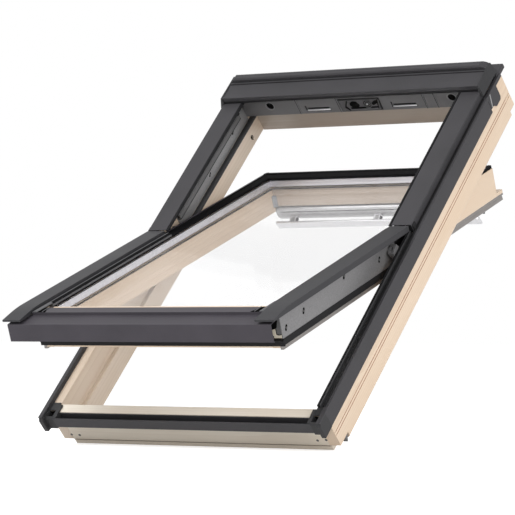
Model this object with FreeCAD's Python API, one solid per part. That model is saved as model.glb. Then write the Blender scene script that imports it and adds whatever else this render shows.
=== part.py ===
import FreeCAD, Part
import math
import os

os.makedirs("parts", exist_ok=True)

# Three working directions are used for the whole window.
# x runs across the window, v runs up the roof slope and w points out of the roof.
# Pieces of the sash are drawn in the closed position and then swung open.
# At the end every piece is turned to the roof pitch and moved to the mount.

V = FreeCAD.Vector

# How the window stands
ROOF_PITCH = 45.0
SASH_OPEN = 25.0

# Clearances and sheet thickness
SHEET = 1.2
RUN_GAP = 5.0
CURVE_GAP = 0.4
SEAT_GAP = 0.3

# Pine frame: outer size, then the steps of its profiles
FRAME_WIDTH = 780.0
FRAME_LENGTH = 1165.0
FRAME_FOOT = 33.0
STILE_THICK = 29.0
LIP_WIDTH = 12.0
WOOD_TOP = -12.0
LIP_DEPTH = 60.0
WOOD_DEPTH = 113.0
NOTCH_DEPTH = 17.0
NOTCH_FOOT_LENGTH = 42.0
NOTCH_END_LENGTH = 28.0
BACK_ROUND = 9.0
RAIL_DEPTH = 34.0
RAIL_STEP = 11.0
RAIL_INSET = 27.0
STRIP_SETBACK = 1.5
HEAD_DEPTH = 35.0
HEAD_STEP = 27.0
PANEL = 2.0
PANEL_STANDOFF = 4.0
LOCK_DEPTH = 3.0
LOCK_HALF = 58.0
PANEL_HOLE = 11.0
PANEL_HOLE_SET = 77.0
PANEL_RISE = 8.0
PANEL_REACH = 38.0
AIR_SLOT = 66.0
AIR_SLOT_SET = LOCK_HALF + 70.0
SOCKET = 5.0
SOCKET_DEPTH = 14.0
SOCKET_LOW = 52.5
SOCKET_HIGH = 57.0
GROOVE_WIDTH = 2.2
GROOVE_DEPTH = 2.5
GROOVE_PITCH = 8.0
GASKET_LEDGE = 2.0
FRAME_HALF = FRAME_WIDTH / 2.0
FRAME_END = FRAME_FOOT + FRAME_LENGTH
STILE_IN = FRAME_HALF - STILE_THICK
LIP_IN = STILE_IN - LIP_WIDTH
LIP_TOP = WOOD_TOP - LIP_DEPTH
WOOD_BACK = WOOD_TOP - WOOD_DEPTH
NOTCH_TOP = WOOD_BACK + NOTCH_DEPTH
NOTCH_FOOT = FRAME_FOOT + NOTCH_FOOT_LENGTH
NOTCH_END = FRAME_END - NOTCH_END_LENGTH
RAIL_LIP = FRAME_FOOT + RAIL_DEPTH
RAIL_IN = RAIL_LIP - RAIL_STEP
HEAD_IN = FRAME_END - HEAD_DEPTH
HEAD_PANEL = HEAD_IN - HEAD_STEP
HEAD_PANEL_BACK = LIP_TOP + 15.0
GROOVE_A = LIP_TOP + 3.0
GROOVE_B = GROOVE_A - GROOVE_PITCH

# Aluminium on the frame
STRIP_WIDTH = 11.0
STRIP_STANDOFF = 5.0
STRIP_DROP = -43.0
STRIP_END_DROP = -48.0
CHEEK_TOP = -3.0
STRIP_OUT = FRAME_HALF + STRIP_STANDOFF
STRIP_IN = STRIP_OUT - STRIP_WIDTH
STRIP_FOOT = FRAME_FOOT - 33.0
STRIP_END = HEAD_PANEL - 42.0
STRIP_PLATE_END = STRIP_END + 60.0
STRIP_PLATE_OUT = STRIP_OUT - 1.0
STRIP_BAR_DROP = WOOD_TOP + 2.6
GUTTER_WALL = 2.2
GUTTER_BACK = FRAME_FOOT - 3.0
GUTTER_FRONT = GUTTER_BACK - 24.0
GUTTER_DROP = WOOD_TOP - 28.0
GUTTER_FLOOR = GUTTER_DROP + 8.0
GUTTER_LIP = WOOD_TOP + 0.5
UPSTAND_TOP = WOOD_TOP - 2.8
RAIL_NOSE = UPSTAND_TOP + 1.8
CORNER_IN = STILE_IN - 8.0
CORNER_TOP = WOOD_TOP + 3.0
CORNER_REACH = FRAME_FOOT + 24.0

# Covers, fixed above the hinge and moving with the sash below it
COVER_TOP = 18.0
COVER_WIDTH = 54.0
COVER_SPLIT_SET = 1.0
SEAL_WIDTH = 8.5
PIVOT_RISE = 11.5
PIVOT_LIFT = 5.0
PIVOT_V = FRAME_FOOT + FRAME_LENGTH / 2.0 + PIVOT_RISE
PIVOT_W = COVER_TOP + PIVOT_LIFT
COVER_OUT = STRIP_IN - 4.0
COVER_IN = COVER_OUT - COVER_WIDTH
COVER_SEAL = COVER_IN - SEAL_WIDTH
COVER_FOOT = PIVOT_V - COVER_SPLIT_SET
HOOD_FRONT = HEAD_PANEL - 32.0
HOOD_GROOVE = HOOD_FRONT + 64.0
HOOD_BACK = HOOD_GROOVE + 22.0
HOOD_ROLL = 14.0
HOOD_TOP = COVER_TOP + 18.0
HOOD_LIP = COVER_TOP + 2.0
HOOD_RIDGE = HOOD_TOP + HOOD_ROLL
HOOD_HALF = COVER_OUT - 3.0
HOOD_END_WIDTH = 12.0
HOOD_END_HALF = HOOD_HALF + HOOD_END_WIDTH
HOOD_END_FOOT = 8.0
HOOD_END_RIM = 4.0
HOOD_ROLL_CUT = 16.0
HOOD_SHEET = 1.5
HOOD_SAG = 2.2
COVER_END = HOOD_FRONT + 14.0
PLATE_TOP = 3.0
PLATE_EDGE = 11.4
PLATE_HALF = STRIP_OUT - 4.0
PLATE_FOOT = HOOD_BACK - 12.0
PLATE_END = FRAME_END + 26.0

# Hinge: ring sectors round the turning axis
RING_IN = 66.0
RING_WIDTH = 14.0
RING_THICK = 6.5
TRACK_GAP = SEAT_GAP
TRACK_RIB = 6.0
TRACK_BASE = 5.5
RING_FROM = -142.0
RING_TO = -14.0
TRACK_FROM = -168.0
TRACK_TO = -60.0
TRACK_SCREWS = (-150.0, -114.0, -78.0)
ARC_SCREWS = (-50.0, -26.0)
BOSS_ANGLE = -136.0
BOSS_RADIUS = 6.0
SCREW_RADIUS = 2.6
ARC_SCREW_RADIUS = 4.0
RING_OUT = RING_IN + RING_WIDTH
FRAME_PLATE = 1.6
FRAME_PLATE_FOOT = PIVOT_V + RING_OUT + 11.0
RING_MIDDLE = RING_IN + RING_WIDTH / 2.0
HINGE_BASE_X = STILE_IN - TRACK_BASE

# Sash, drawn closed
SASH_STILE_WIDTH = 33.0
SASH_DEPTH = 89.0
SASH_RAIL_DEPTH = 46.0
SASH_HEAD_DEPTH = 34.0
GLASS_BITE = 15.0
PANE_EDGE = 1.5
PANE = 4.0
SPACER = 16.0
SPACER_WIDTH = 7.0
SPACER_SET = 12.0
BEVEL = 4.0
BEVEL_DEPTH = 18.0
SASH_ROUND = 2.0
RAIL_WIDTH = 12.0
RAIL_HEIGHT = 19.0
SEAL = 3.0
SEAL_RISE = 8.0
SEAL_DEPTH = 15.0
SEAL_PROUD = 7.0
SEAL_END = PIVOT_V - RING_OUT - 20.0
PLATE_THICK = 2.0
SASH_HALF = LIP_IN - 11.0
SASH_FOOT = RAIL_LIP + 9.0
SASH_END = HEAD_PANEL - 8.0
SASH_LIP_END = HEAD_IN - RUN_GAP
OPEN_HALF = SASH_HALF - SASH_STILE_WIDTH
OPEN_FOOT = SASH_FOOT + SASH_RAIL_DEPTH
OPEN_END = SASH_END - SASH_HEAD_DEPTH
GLASS_HALF = OPEN_HALF + GLASS_BITE
GLASS_FOOT = OPEN_FOOT - GLASS_BITE
GLASS_END = OPEN_END + GLASS_BITE
SASH_TOP = COVER_TOP - 16.0
SASH_BACK = SASH_TOP - SASH_DEPTH
PANE_TOP = SASH_TOP - 2.0
REBATE = PANE_TOP - PANE - SPACER - PANE
LIP_LEVEL = SASH_BACK + 25.0
LIP_BACK = SASH_BACK + 14.0
RAIL_SLOT = LIP_BACK + 1.0
RAIL_BACK = RAIL_SLOT - RAIL_HEIGHT
SEAL_LEVEL = RAIL_SLOT + SEAL_RISE
CROSS_SEAL_BACK = SASH_BACK + 5.0
SASH_COVER_OUT = COVER_OUT - 3.0
SASH_COVER_END = COVER_FOOT - RUN_GAP
SASH_COVER_SKIRT = COVER_TOP - 14.0
NOSE_TOP = COVER_TOP - 9.5
NOSE_BEND = 330.0
NOSE_START = FRAME_FOOT + 25.0
NOSE_FOOT = GUTTER_FRONT - 9.0
FRONT_V = GUTTER_FRONT - 8.0
FRONT_HALF = SASH_COVER_OUT - 11.0
FRONT_FOLD = COVER_TOP - 21.0
FRONT_DROP = FRONT_FOLD - 42.0
LEDGE_START = SASH_FOOT + 2.0
LEDGE_LEVEL = COVER_TOP - 8.0
LEDGE_STEP_V = FRONT_V + 47.0
STEP_LEVEL = COVER_TOP - 15.0
BEAD_IN = OPEN_HALF + 3.0
BEAD_OUT = SASH_HALF - 2.0
BEAD_TOP_START = OPEN_END - 6.0
BEAD_LEVEL = COVER_TOP - 7.5
GREY_BEAD_LEVEL = COVER_TOP - 5.0
RING_X0 = SASH_HALF + 5.5
RING_X1 = RING_X0 + RING_THICK

# Ventilation flap and control bar
FLAP_HALF = OPEN_HALF - 3.0
FLAP_PIN_V = OPEN_END + 44.0
FLAP_PIN_W = LIP_BACK - 7.5
FLAP_PIN = 2.5
FLAP_PIN_SEAT = 5.0
BRACKET_PITCH = FLAP_HALF - 47.0
BRACKET_HALF = 9.0


# Drawing helpers
def wire(points, radii, place):
    """Closed wire through points, rounded where a radius is given."""
    count = len(points)
    starts = []
    ends = []
    arcs = []
    for i in range(count):
        px, py = points[i - 1]
        cx, cy = points[i]
        nx, ny = points[(i + 1) % count]
        radius = radii.get(i, 0.0)
        if radius <= 0.0:
            starts.append((cx, cy))
            ends.append((cx, cy))
            arcs.append(None)
            continue
        ax, ay = px - cx, py - cy
        bx, by = nx - cx, ny - cy
        la = math.hypot(ax, ay)
        lb = math.hypot(bx, by)
        ax, ay, bx, by = ax / la, ay / la, bx / lb, by / lb
        half = math.acos(max(-1.0, min(1.0, ax * bx + ay * by))) / 2.0
        reach = radius / math.tan(half)
        start = (cx + ax * reach, cy + ay * reach)
        end = (cx + bx * reach, cy + by * reach)
        mx, my = ax + bx, ay + by
        lm = math.hypot(mx, my)
        far = radius / math.sin(half)
        middle = (cx + mx / lm * (far - radius), cy + my / lm * (far - radius))
        starts.append(start)
        ends.append(end)
        arcs.append(middle)
    edges = []
    for i in range(count):
        if arcs[i] is not None:
            edges.append(Part.Arc(place(starts[i]), place(arcs[i]), place(ends[i])).toShape())
        j = (i + 1) % count
        a = place(ends[i])
        b = place(starts[j])
        if a.distanceToPoint(b) > 1e-6:
            edges.append(Part.LineSegment(a, b).toShape())
    return Part.Wire(edges)


def along_x(points, x0, x1, radii=None):
    """Profile drawn in v and w, run across the window from x0 to x1."""
    outline = wire(points, radii or {}, lambda p: V(x0, p[0], p[1]))
    return Part.Face(outline).extrude(V(x1 - x0, 0, 0))


def along_v(points, v0, v1, radii=None):
    """Profile drawn in x and w, run up the slope from v0 to v1."""
    outline = wire(points, radii or {}, lambda p: V(p[0], v0, p[1]))
    return Part.Face(outline).extrude(V(0, v1 - v0, 0))


def along_w(points, w0, w1, radii=None):
    """Profile drawn in x and v, run outwards from w0 to w1."""
    outline = wire(points, radii or {}, lambda p: V(p[0], p[1], w0))
    return Part.Face(outline).extrude(V(0, 0, w1 - w0))


def block(x0, x1, v0, v1, w0, w1):
    return Part.makeBox(x1 - x0, v1 - v0, w1 - w0, V(x0, v0, w0))


def rod_x(x0, x1, v, w, radius):
    return Part.makeCylinder(radius, x1 - x0, V(x0, v, w), V(1, 0, 0))


def slot_x(x0, x1, v, w, length, width, angle):
    """Round-ended slot through a side face, its long way at an angle from v."""
    half = (length - width) / 2.0
    dv = math.cos(math.radians(angle)) * half
    dw = math.sin(math.radians(angle)) * half
    first = rod_x(x0, x1, v - dv, w - dw, width / 2.0)
    second = rod_x(x0, x1, v + dv, w + dw, width / 2.0)
    bar = Part.makeBox(x1 - x0, 2.0 * half, width, V(x0, -half, -width / 2.0))
    bar.rotate(V(0, 0, 0), V(1, 0, 0), angle)
    bar.translate(V(0, v, w))
    return first.fuse(bar).fuse(second)


def sheet(points, thick, radii=None):
    """Outline of a bent sheet: an open line and its copy set off to the right."""
    radii = radii or {}
    count = len(points)
    offset = []
    for i in range(count):
        directions = []
        if i > 0:
            directions.append((points[i][0] - points[i - 1][0], points[i][1] - points[i - 1][1]))
        if i < count - 1:
            directions.append((points[i + 1][0] - points[i][0], points[i + 1][1] - points[i][1]))
        normals = []
        for dx, dy in directions:
            length = math.hypot(dx, dy)
            normals.append((dy / length, -dx / length))
        sx = sum(n[0] for n in normals)
        sy = sum(n[1] for n in normals)
        length = math.hypot(sx, sy)
        sx, sy = sx / length, sy / length
        scale = thick / (sx * normals[0][0] + sy * normals[0][1])
        offset.append((points[i][0] + sx * scale, points[i][1] + sy * scale))
    outline = list(points) + offset[::-1]
    out_radii = {}
    for i, radius in radii.items():
        out_radii[i] = abs(radius)
        inner = abs(radius) - thick if radius > 0 else abs(radius) + thick
        out_radii[2 * count - 1 - i] = max(inner, 0.0)
    return outline, out_radii


def sheet_x(points, x0, x1, thick=SHEET, radii=None):
    outline, rounds = sheet(points, thick, radii)
    return along_x(outline, x0, x1, rounds)


def sheet_v(points, v0, v1, thick=SHEET, radii=None):
    outline, rounds = sheet(points, thick, radii)
    return along_v(outline, v0, v1, rounds)


def ring_sector(x0, x1, inner, outer, start, stop):
    """Part of a flat ring around the hinge axis, angles counted from up the slope."""
    def at(radius, angle):
        a = math.radians(angle)
        return V(x0, PIVOT_V + radius * math.cos(a), PIVOT_W + radius * math.sin(a))
    middle = (start + stop) / 2.0
    edges = [
        Part.Arc(at(outer, start), at(outer, middle), at(outer, stop)).toShape(),
        Part.LineSegment(at(outer, stop), at(inner, stop)).toShape(),
        Part.Arc(at(inner, stop), at(inner, middle), at(inner, start)).toShape(),
        Part.LineSegment(at(inner, start), at(outer, start)).toShape(),
    ]
    return Part.Face(Part.Wire(edges)).extrude(V(x1 - x0, 0, 0))


def ring_point(radius, angle):
    a = math.radians(angle)
    return PIVOT_V + radius * math.cos(a), PIVOT_W + radius * math.sin(a)


def fused(*shapes):
    whole = shapes[0]
    for shape in shapes[1:]:
        whole = whole.fuse(shape)
    return whole.removeSplitter()


def mirrored(shape):
    return shape.mirror(V(0, 0, 0), V(1, 0, 0))


# Pieces of the pine frame
def frame_stile():
    """Right stile: outer face, ledge for the covers, wide inner face and room-side lip."""
    body = along_v(
        [
            (STILE_IN, WOOD_TOP),
            (FRAME_HALF, WOOD_TOP),
            (FRAME_HALF, WOOD_BACK),
            (LIP_IN, WOOD_BACK),
            (LIP_IN, LIP_TOP),
            (STILE_IN, LIP_TOP),
        ],
        FRAME_FOOT,
        FRAME_END,
        {0: 1.5, 2: BACK_ROUND, 3: 2.0, 4: 1.5},
    )
    below = WOOD_BACK - 1.0
    body = body.cut(block(LIP_IN - 1, FRAME_HALF + 1, FRAME_FOOT - 1, NOTCH_FOOT, below, NOTCH_TOP))
    body = body.cut(block(LIP_IN - 1, FRAME_HALF + 1, NOTCH_END, FRAME_END + 1, below, NOTCH_TOP))
    for level in (GROOVE_A, GROOVE_B):
        groove = block(
            FRAME_HALF - GROOVE_DEPTH, FRAME_HALF + 1, FRAME_FOOT - 1, FRAME_END + 1,
            level - GROOVE_WIDTH / 2, level + GROOVE_WIDTH / 2,
        )
        body = body.cut(groove)
    # Lip ends are cut back so the two rails reach the stiles' inner faces.
    body = body.cut(block(LIP_IN - 1, STILE_IN, FRAME_FOOT - 1, RAIL_LIP, below, LIP_TOP + 1))
    body = body.cut(block(LIP_IN - 1, STILE_IN, HEAD_IN, FRAME_END + 1, below, LIP_TOP + 1))
    # Round sockets that take the sash bolt in its two resting places.
    level = (LIP_TOP + WOOD_BACK) / 2.0 - 4.0
    for v in (RAIL_LIP + SOCKET_LOW, HEAD_IN - SOCKET_HIGH):
        body = body.cut(rod_x(LIP_IN - 1, LIP_IN + SOCKET_DEPTH, v, level, SOCKET))
    return body


def frame_bottom_rail():
    """Bottom rail with its room-side strip set in from both ends."""
    upper = along_x(
        [
            (FRAME_FOOT, NOTCH_TOP),
            (FRAME_FOOT, GUTTER_DROP),
            (GUTTER_BACK, GUTTER_DROP),
            (GUTTER_BACK, RAIL_NOSE),
            (RAIL_IN, RAIL_NOSE),
            (RAIL_IN, LIP_TOP),
            (RAIL_LIP, LIP_TOP),
            (RAIL_LIP, NOTCH_TOP),
        ],
        -STILE_IN,
        STILE_IN,
        {4: 1.5, 6: 1.5},
    )
    strip_half = FRAME_HALF - RAIL_INSET
    strip = along_x(
        [
            (FRAME_FOOT + STRIP_SETBACK, NOTCH_TOP),
            (FRAME_FOOT + STRIP_SETBACK, WOOD_BACK - STRIP_SETBACK),
            (RAIL_LIP, WOOD_BACK - STRIP_SETBACK),
            (RAIL_LIP, NOTCH_TOP),
        ],
        -strip_half,
        strip_half,
        {1: 2.0},
    )
    return fused(upper, strip)


def frame_head():
    """Head rail; its outer half comes forward to carry the lock panel."""
    upper = along_x(
        [
            (FRAME_END, NOTCH_TOP),
            (FRAME_END, WOOD_TOP),
            (HEAD_PANEL + PANEL + PANEL_STANDOFF, WOOD_TOP),
            (HEAD_PANEL + PANEL + PANEL_STANDOFF, HEAD_PANEL_BACK + PANEL),
            (HEAD_IN, HEAD_PANEL_BACK + PANEL),
            (HEAD_IN, NOTCH_TOP),
        ],
        -STILE_IN,
        STILE_IN,
    )
    strip = along_x(
        [
            (HEAD_IN, NOTCH_TOP),
            (HEAD_IN, WOOD_BACK - STRIP_SETBACK),
            (FRAME_END - NOTCH_DEPTH, WOOD_BACK - STRIP_SETBACK),
            (FRAME_END - NOTCH_DEPTH, NOTCH_TOP),
        ],
        -LIP_IN,
        LIP_IN,
        {2: 2.0},
    )
    return fused(upper, strip)


# Aluminium pieces on the frame
def outer_strip():
    """Right edge strip: narrow top face, deep outer side and a return onto the pine."""
    return along_v(
        [
            (STRIP_IN, WOOD_TOP),
            (STRIP_IN, 0.0),
            (STRIP_OUT, 0.0),
            (STRIP_OUT, STRIP_DROP),
            (FRAME_HALF, STRIP_DROP),
            (FRAME_HALF, WOOD_TOP),
        ],
        STRIP_FOOT,
        STRIP_END,
        {2: 1.2, 1: 1.0},
    ).cut(block(STRIP_IN - 1, STRIP_OUT + 1, STRIP_FOOT - 1, FRAME_FOOT, STRIP_DROP - 1, CHEEK_TOP))


def strip_end_plate():
    """Right strip's end beside the hood: narrow bar, tongue and deeper side plate."""
    bar = along_v(
        [
            (STRIP_IN, WOOD_TOP),
            (STRIP_IN, 0.0),
            (STRIP_PLATE_OUT, 0.0),
            (STRIP_PLATE_OUT, STRIP_BAR_DROP),
            (FRAME_HALF, STRIP_BAR_DROP),
            (FRAME_HALF, WOOD_TOP),
        ],
        STRIP_END,
        PLATE_FOOT - SEAT_GAP,
    )
    # The tongue runs on outside the top plate's folded edge.
    tongue = block(PLATE_HALF + SEAT_GAP, STRIP_PLATE_OUT, STRIP_END, HOOD_BACK + 2.0, STRIP_BAR_DROP, 0.0)
    side = block(
        FRAME_HALF, STRIP_PLATE_OUT, STRIP_END + 3.0, STRIP_PLATE_END, STRIP_END_DROP, STRIP_BAR_DROP
    )
    below = STRIP_END_DROP - 1.0
    corner = along_x(
        [
            (STRIP_PLATE_END - 6.0, below),
            (STRIP_PLATE_END + 1.0, below),
            (STRIP_PLATE_END + 1.0, below + 9.0),
        ],
        FRAME_HALF - 1,
        STRIP_OUT + 1,
    )
    low = along_x(
        [
            (STRIP_END - 4.0, below),
            (STRIP_PLATE_END - 30.0, below),
            (STRIP_PLATE_END - 44.0, STRIP_DROP + 7.0),
            (STRIP_END - 4.0, STRIP_DROP + 7.0),
        ],
        FRAME_HALF - 1,
        STRIP_OUT + 1,
    )
    return fused(bar, tongue, side.cut(corner).cut(low))


def gutter():
    """Bottom casing: front lip, open channel and dark upstand in front of the pine."""
    return along_x(
        [
            (GUTTER_BACK, GUTTER_DROP),
            (GUTTER_FRONT, GUTTER_DROP),
            (GUTTER_FRONT, GUTTER_LIP),
            (GUTTER_FRONT + GUTTER_WALL, GUTTER_LIP),
            (GUTTER_FRONT + GUTTER_WALL, GUTTER_FLOOR),
            (GUTTER_BACK - GUTTER_WALL, GUTTER_FLOOR),
            (GUTTER_BACK - GUTTER_WALL, UPSTAND_TOP),
            (GUTTER_BACK, UPSTAND_TOP),
        ],
        -STILE_IN,
        STILE_IN,
        {2: 1.0, 1: 1.0},
    )


def corner_piece():
    """Right moulded corner: gutter end, inner tab, ledge cap and the cheek under the strip."""
    nose = STRIP_FOOT - 4.0
    base = along_w(
        [
            (STILE_IN, GUTTER_FRONT),
            (STRIP_IN - 2.0, GUTTER_FRONT),
            (STRIP_IN, nose),
            (STRIP_OUT, nose),
            (STRIP_OUT, FRAME_FOOT),
            (STILE_IN, FRAME_FOOT),
        ],
        GUTTER_DROP - 4.0,
        GUTTER_DROP + 4.0,
    )
    cheek = block(STRIP_IN, STRIP_OUT, nose, FRAME_FOOT, GUTTER_DROP, CHEEK_TOP)
    chamfer = along_x(
        [(nose - 1.0, CHEEK_TOP + 1.0), (nose - 1.0, CHEEK_TOP - 9.0), (nose + 7.0, CHEEK_TOP + 1.0)],
        STRIP_IN - 1.0,
        STRIP_OUT + 1.0,
    )
    sill = along_x(
        [
            (GUTTER_FRONT, GUTTER_DROP),
            (GUTTER_FRONT, WOOD_TOP - 2.0),
            (GUTTER_FRONT + 4.0, CORNER_TOP),
            (FRAME_FOOT, CORNER_TOP),
            (FRAME_FOOT, GUTTER_DROP),
        ],
        STILE_IN,
        STRIP_IN,
        {1: 2.0},
    )
    pocket = block(
        STILE_IN + 2.0, STRIP_IN - 3.0, GUTTER_FRONT + 6.0, FRAME_FOOT, WOOD_TOP - 12.0, CORNER_TOP + 1.0
    )
    # A thin cap runs from the moulding up the end of the pine ledge.
    cap = block(STILE_IN, STRIP_IN, FRAME_FOOT, CORNER_REACH, WOOD_TOP, CORNER_TOP)
    channel = GUTTER_FRONT + GUTTER_WALL + CURVE_GAP
    upstand = GUTTER_BACK - GUTTER_WALL - CURVE_GAP
    tab = along_x(
        [
            (channel, GUTTER_FLOOR),
            (channel, WOOD_TOP + 2.0),
            (RAIL_IN - 6.0, WOOD_TOP + 5.0),
            (RAIL_IN - 6.0, RAIL_NOSE),
            (upstand, RAIL_NOSE),
            (upstand, GUTTER_FLOOR),
        ],
        CORNER_IN,
        STILE_IN,
        {1: 2.0, 2: 2.0},
    )
    return fused(base, cheek.cut(chamfer), sill.cut(pocket), tab, cap)


def upper_cover():
    """Right upper cover: flat top, folded outer side standing on the pine ledge."""
    skin = sheet_v(
        [
            (COVER_IN, COVER_TOP - 4.0),
            (COVER_IN, COVER_TOP),
            (COVER_OUT, COVER_TOP),
            (COVER_OUT, WOOD_TOP),
        ],
        COVER_FOOT,
        COVER_END,
        SHEET,
        {2: 2.4},
    )
    # Three folded feet inside the cover rest on the stile.
    feet = []
    foot_in = STILE_IN + 3.0
    for share in (1, 3, 5):
        v = COVER_FOOT + (COVER_END - COVER_FOOT) * share / 6.0
        foot = along_v(
            [
                (foot_in, WOOD_TOP),
                (foot_in, WOOD_TOP + SHEET),
                (foot_in + 7.0, WOOD_TOP + SHEET),
                (foot_in + 7.0, COVER_TOP - SHEET),
                (foot_in + 7.0 + SHEET, COVER_TOP - SHEET),
                (foot_in + 7.0 + SHEET, WOOD_TOP),
            ],
            v - 15.0,
            v + 15.0,
        )
        feet.append(foot)
    return fused(skin, *feet)


def cover_seal():
    """Rubber strip along the inner edge of the right upper cover, with a middle rib."""
    top = COVER_TOP
    return along_v(
        [
            (COVER_IN, top - 3.4),
            (COVER_IN, top - 1.2),
            (COVER_IN - 2.6, top - 2.6),
            (COVER_IN - 3.2, top - 0.4),
            (COVER_IN - 5.2, top - 0.4),
            (COVER_IN - 5.8, top - 2.6),
            (COVER_SEAL, top - 1.4),
            (COVER_SEAL, top - 3.4),
        ],
        COVER_FOOT,
        COVER_END,
    )


def hood():
    """Top casing: lip, shallow concave top, groove and rolled rear ridge with sloped ends."""
    thick = HOOD_SHEET
    mid = (HOOD_FRONT + HOOD_GROOVE) / 2.0
    hollow = HOOD_TOP - HOOD_SAG
    shoulder = HOOD_TOP

    def p(v, w):
        return V(-HOOD_HALF, v, w)

    def line(a, b):
        return Part.LineSegment(a, b).toShape()

    def arc(a, b, c):
        return Part.Arc(a, b, c).toShape()

    lip = p(HOOD_FRONT, HOOD_LIP)
    front = p(HOOD_FRONT, HOOD_TOP - 1.0)
    edge = p(HOOD_FRONT + 1.0, HOOD_TOP)
    groove = p(HOOD_GROOVE, HOOD_TOP)
    step = p(HOOD_GROOVE + 1.0, HOOD_TOP + 3.0)
    roll = p(HOOD_GROOVE - 2.0, HOOD_TOP + 6.0)
    crest = p(HOOD_GROOVE + 9.0, HOOD_RIDGE)
    back = p(HOOD_BACK, shoulder)
    foot = p(HOOD_BACK, PLATE_TOP)
    inner_foot = p(HOOD_BACK - thick, PLATE_TOP)
    inner_back = p(HOOD_BACK - thick, shoulder)
    inner_crest = p(HOOD_GROOVE + 9.0, HOOD_RIDGE - thick)
    inner_roll = p(HOOD_GROOVE + 3.0, HOOD_TOP + 6.0)
    inner_groove = p(HOOD_GROOVE + 2.0, HOOD_TOP - thick)
    inner_front = p(HOOD_FRONT + thick, HOOD_TOP - thick)
    inner_lip = p(HOOD_FRONT + thick, HOOD_LIP)
    roll_edges = [
        line(groove, step),
        line(step, roll),
        arc(roll, p(HOOD_GROOVE + 3.0, HOOD_RIDGE - 1.5), crest),
        arc(crest, p(HOOD_BACK - 5.0, HOOD_RIDGE - 4.0), back),
    ]
    edges = [
        line(lip, front),
        line(front, edge),
        arc(edge, p(mid, hollow), groove),
        *roll_edges,
        line(back, foot),
        line(foot, inner_foot),
        line(inner_foot, inner_back),
        arc(inner_back, p(HOOD_BACK - 6.5, HOOD_RIDGE - 5.5), inner_crest),
        line(inner_crest, inner_roll),
        line(inner_roll, inner_groove),
        arc(inner_groove, p(mid, hollow - thick), inner_front),
        line(inner_front, inner_lip),
        line(inner_lip, lip),
    ]
    across = V(2 * HOOD_HALF, 0, 0)
    casing = Part.Face(Part.Wire(edges)).extrude(across)
    whole_roll = Part.Face(Part.Wire(roll_edges + [line(back, groove)])).extrude(across)
    # The roll's ends are cut back on a slope and closed by a thin wall.
    high = HOOD_RIDGE + 2.0
    cut_x = HOOD_HALF - HOOD_ROLL_CUT * (high - HOOD_TOP) / HOOD_ROLL
    for side in (1.0, -1.0):
        slope = [(side * HOOD_HALF, HOOD_TOP), (side * cut_x, high)]
        beyond = along_v(
            slope + [(side * (HOOD_HALF + 1.0), high), (side * (HOOD_HALF + 1.0), HOOD_TOP)],
            HOOD_GROOVE - 4.0,
            HOOD_BACK + 1.0,
        )
        wall = along_v(
            slope + [(side * (cut_x - thick), high), (side * (HOOD_HALF - thick), HOOD_TOP)],
            HOOD_GROOVE - 4.0,
            HOOD_BACK + 1.0,
        )
        casing = casing.cut(beyond).fuse(wall.common(whole_roll))
    return casing.removeSplitter()


def hood_end():
    """Right end of the hood: splayed side wall closing the casing down to the strip."""
    front = HOOD_FRONT - 20.0
    top = HOOD_TOP + 2.0
    side = along_x(
        [
            (HOOD_FRONT, HOOD_TOP),
            (HOOD_BACK, HOOD_TOP),
            (HOOD_BACK, HOOD_END_FOOT),
            (HOOD_FRONT - 8.0, HOOD_END_FOOT),
        ],
        HOOD_HALF,
        HOOD_END_HALF,
    )
    slope = along_v(
        [
            (HOOD_HALF + HOOD_END_RIM, top),
            (HOOD_HALF + HOOD_END_RIM, HOOD_TOP),
            (HOOD_END_HALF, HOOD_END_FOOT),
            (HOOD_END_HALF + 3.0, HOOD_END_FOOT),
            (HOOD_END_HALF + 3.0, top),
        ],
        front,
        HOOD_BACK + 10.0,
    )
    nose = along_x(
        [
            (front, top),
            (front, 0.0),
            (HOOD_FRONT - 8.0, HOOD_END_FOOT),
            (HOOD_FRONT, HOOD_TOP),
            (HOOD_FRONT, top),
        ],
        HOOD_HALF - 1.0,
        HOOD_END_HALF + 4.0,
    )
    # The end stands round the outer corner of the upper cover.
    corner = block(HOOD_HALF - 1.0, COVER_OUT, front, COVER_END, 0.0, COVER_TOP)
    return side.cut(slope).cut(nose).cut(corner)


def top_plate():
    """Flashing plate behind the hood with its side edges turned down."""
    plate = sheet_v(
        [
            (-PLATE_HALF, PLATE_TOP - PLATE_EDGE),
            (-PLATE_HALF, PLATE_TOP),
            (PLATE_HALF, PLATE_TOP),
            (PLATE_HALF, PLATE_TOP - PLATE_EDGE),
        ],
        PLATE_FOOT,
        PLATE_END,
        SHEET,
        {1: 2.0, 2: 2.0},
    )
    rest_half = PLATE_HALF - 2.0
    rest = block(-rest_half, rest_half, PLATE_FOOT, PLATE_FOOT + 3.0, WOOD_TOP, PLATE_TOP - SHEET)
    return fused(plate, rest)


def head_panel():
    """Panel over the head: folded sheet with two round holes and two air slots."""
    half = LIP_IN - PANEL
    panel = sheet_x(
        [
            (HEAD_IN - 2.0, HEAD_PANEL_BACK),
            (HEAD_PANEL, HEAD_PANEL_BACK),
            (HEAD_PANEL, PANEL_RISE),
            (HEAD_PANEL + PANEL_REACH, PANEL_RISE),
        ],
        -half,
        half,
        PANEL,
        {1: 3.0, 2: 3.0},
    )
    for x in (-half + PANEL_HOLE_SET, half - PANEL_HOLE_SET):
        hole = Part.makeCylinder(PANEL_HOLE, 10.0, V(x, HEAD_PANEL - 3.0, WOOD_TOP - 12.0), V(0, 1, 0))
        panel = panel.cut(hole)
    for x in (-AIR_SLOT_SET, AIR_SLOT_SET):
        start = x - AIR_SLOT / 2.0
        end = x + AIR_SLOT / 2.0
        slot = block(start, end, HEAD_PANEL - 3.0, HEAD_PANEL + 3.0, WOOD_TOP - 29.0, WOOD_TOP - 24.0)
        panel = panel.cut(slot)
    return panel


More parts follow.
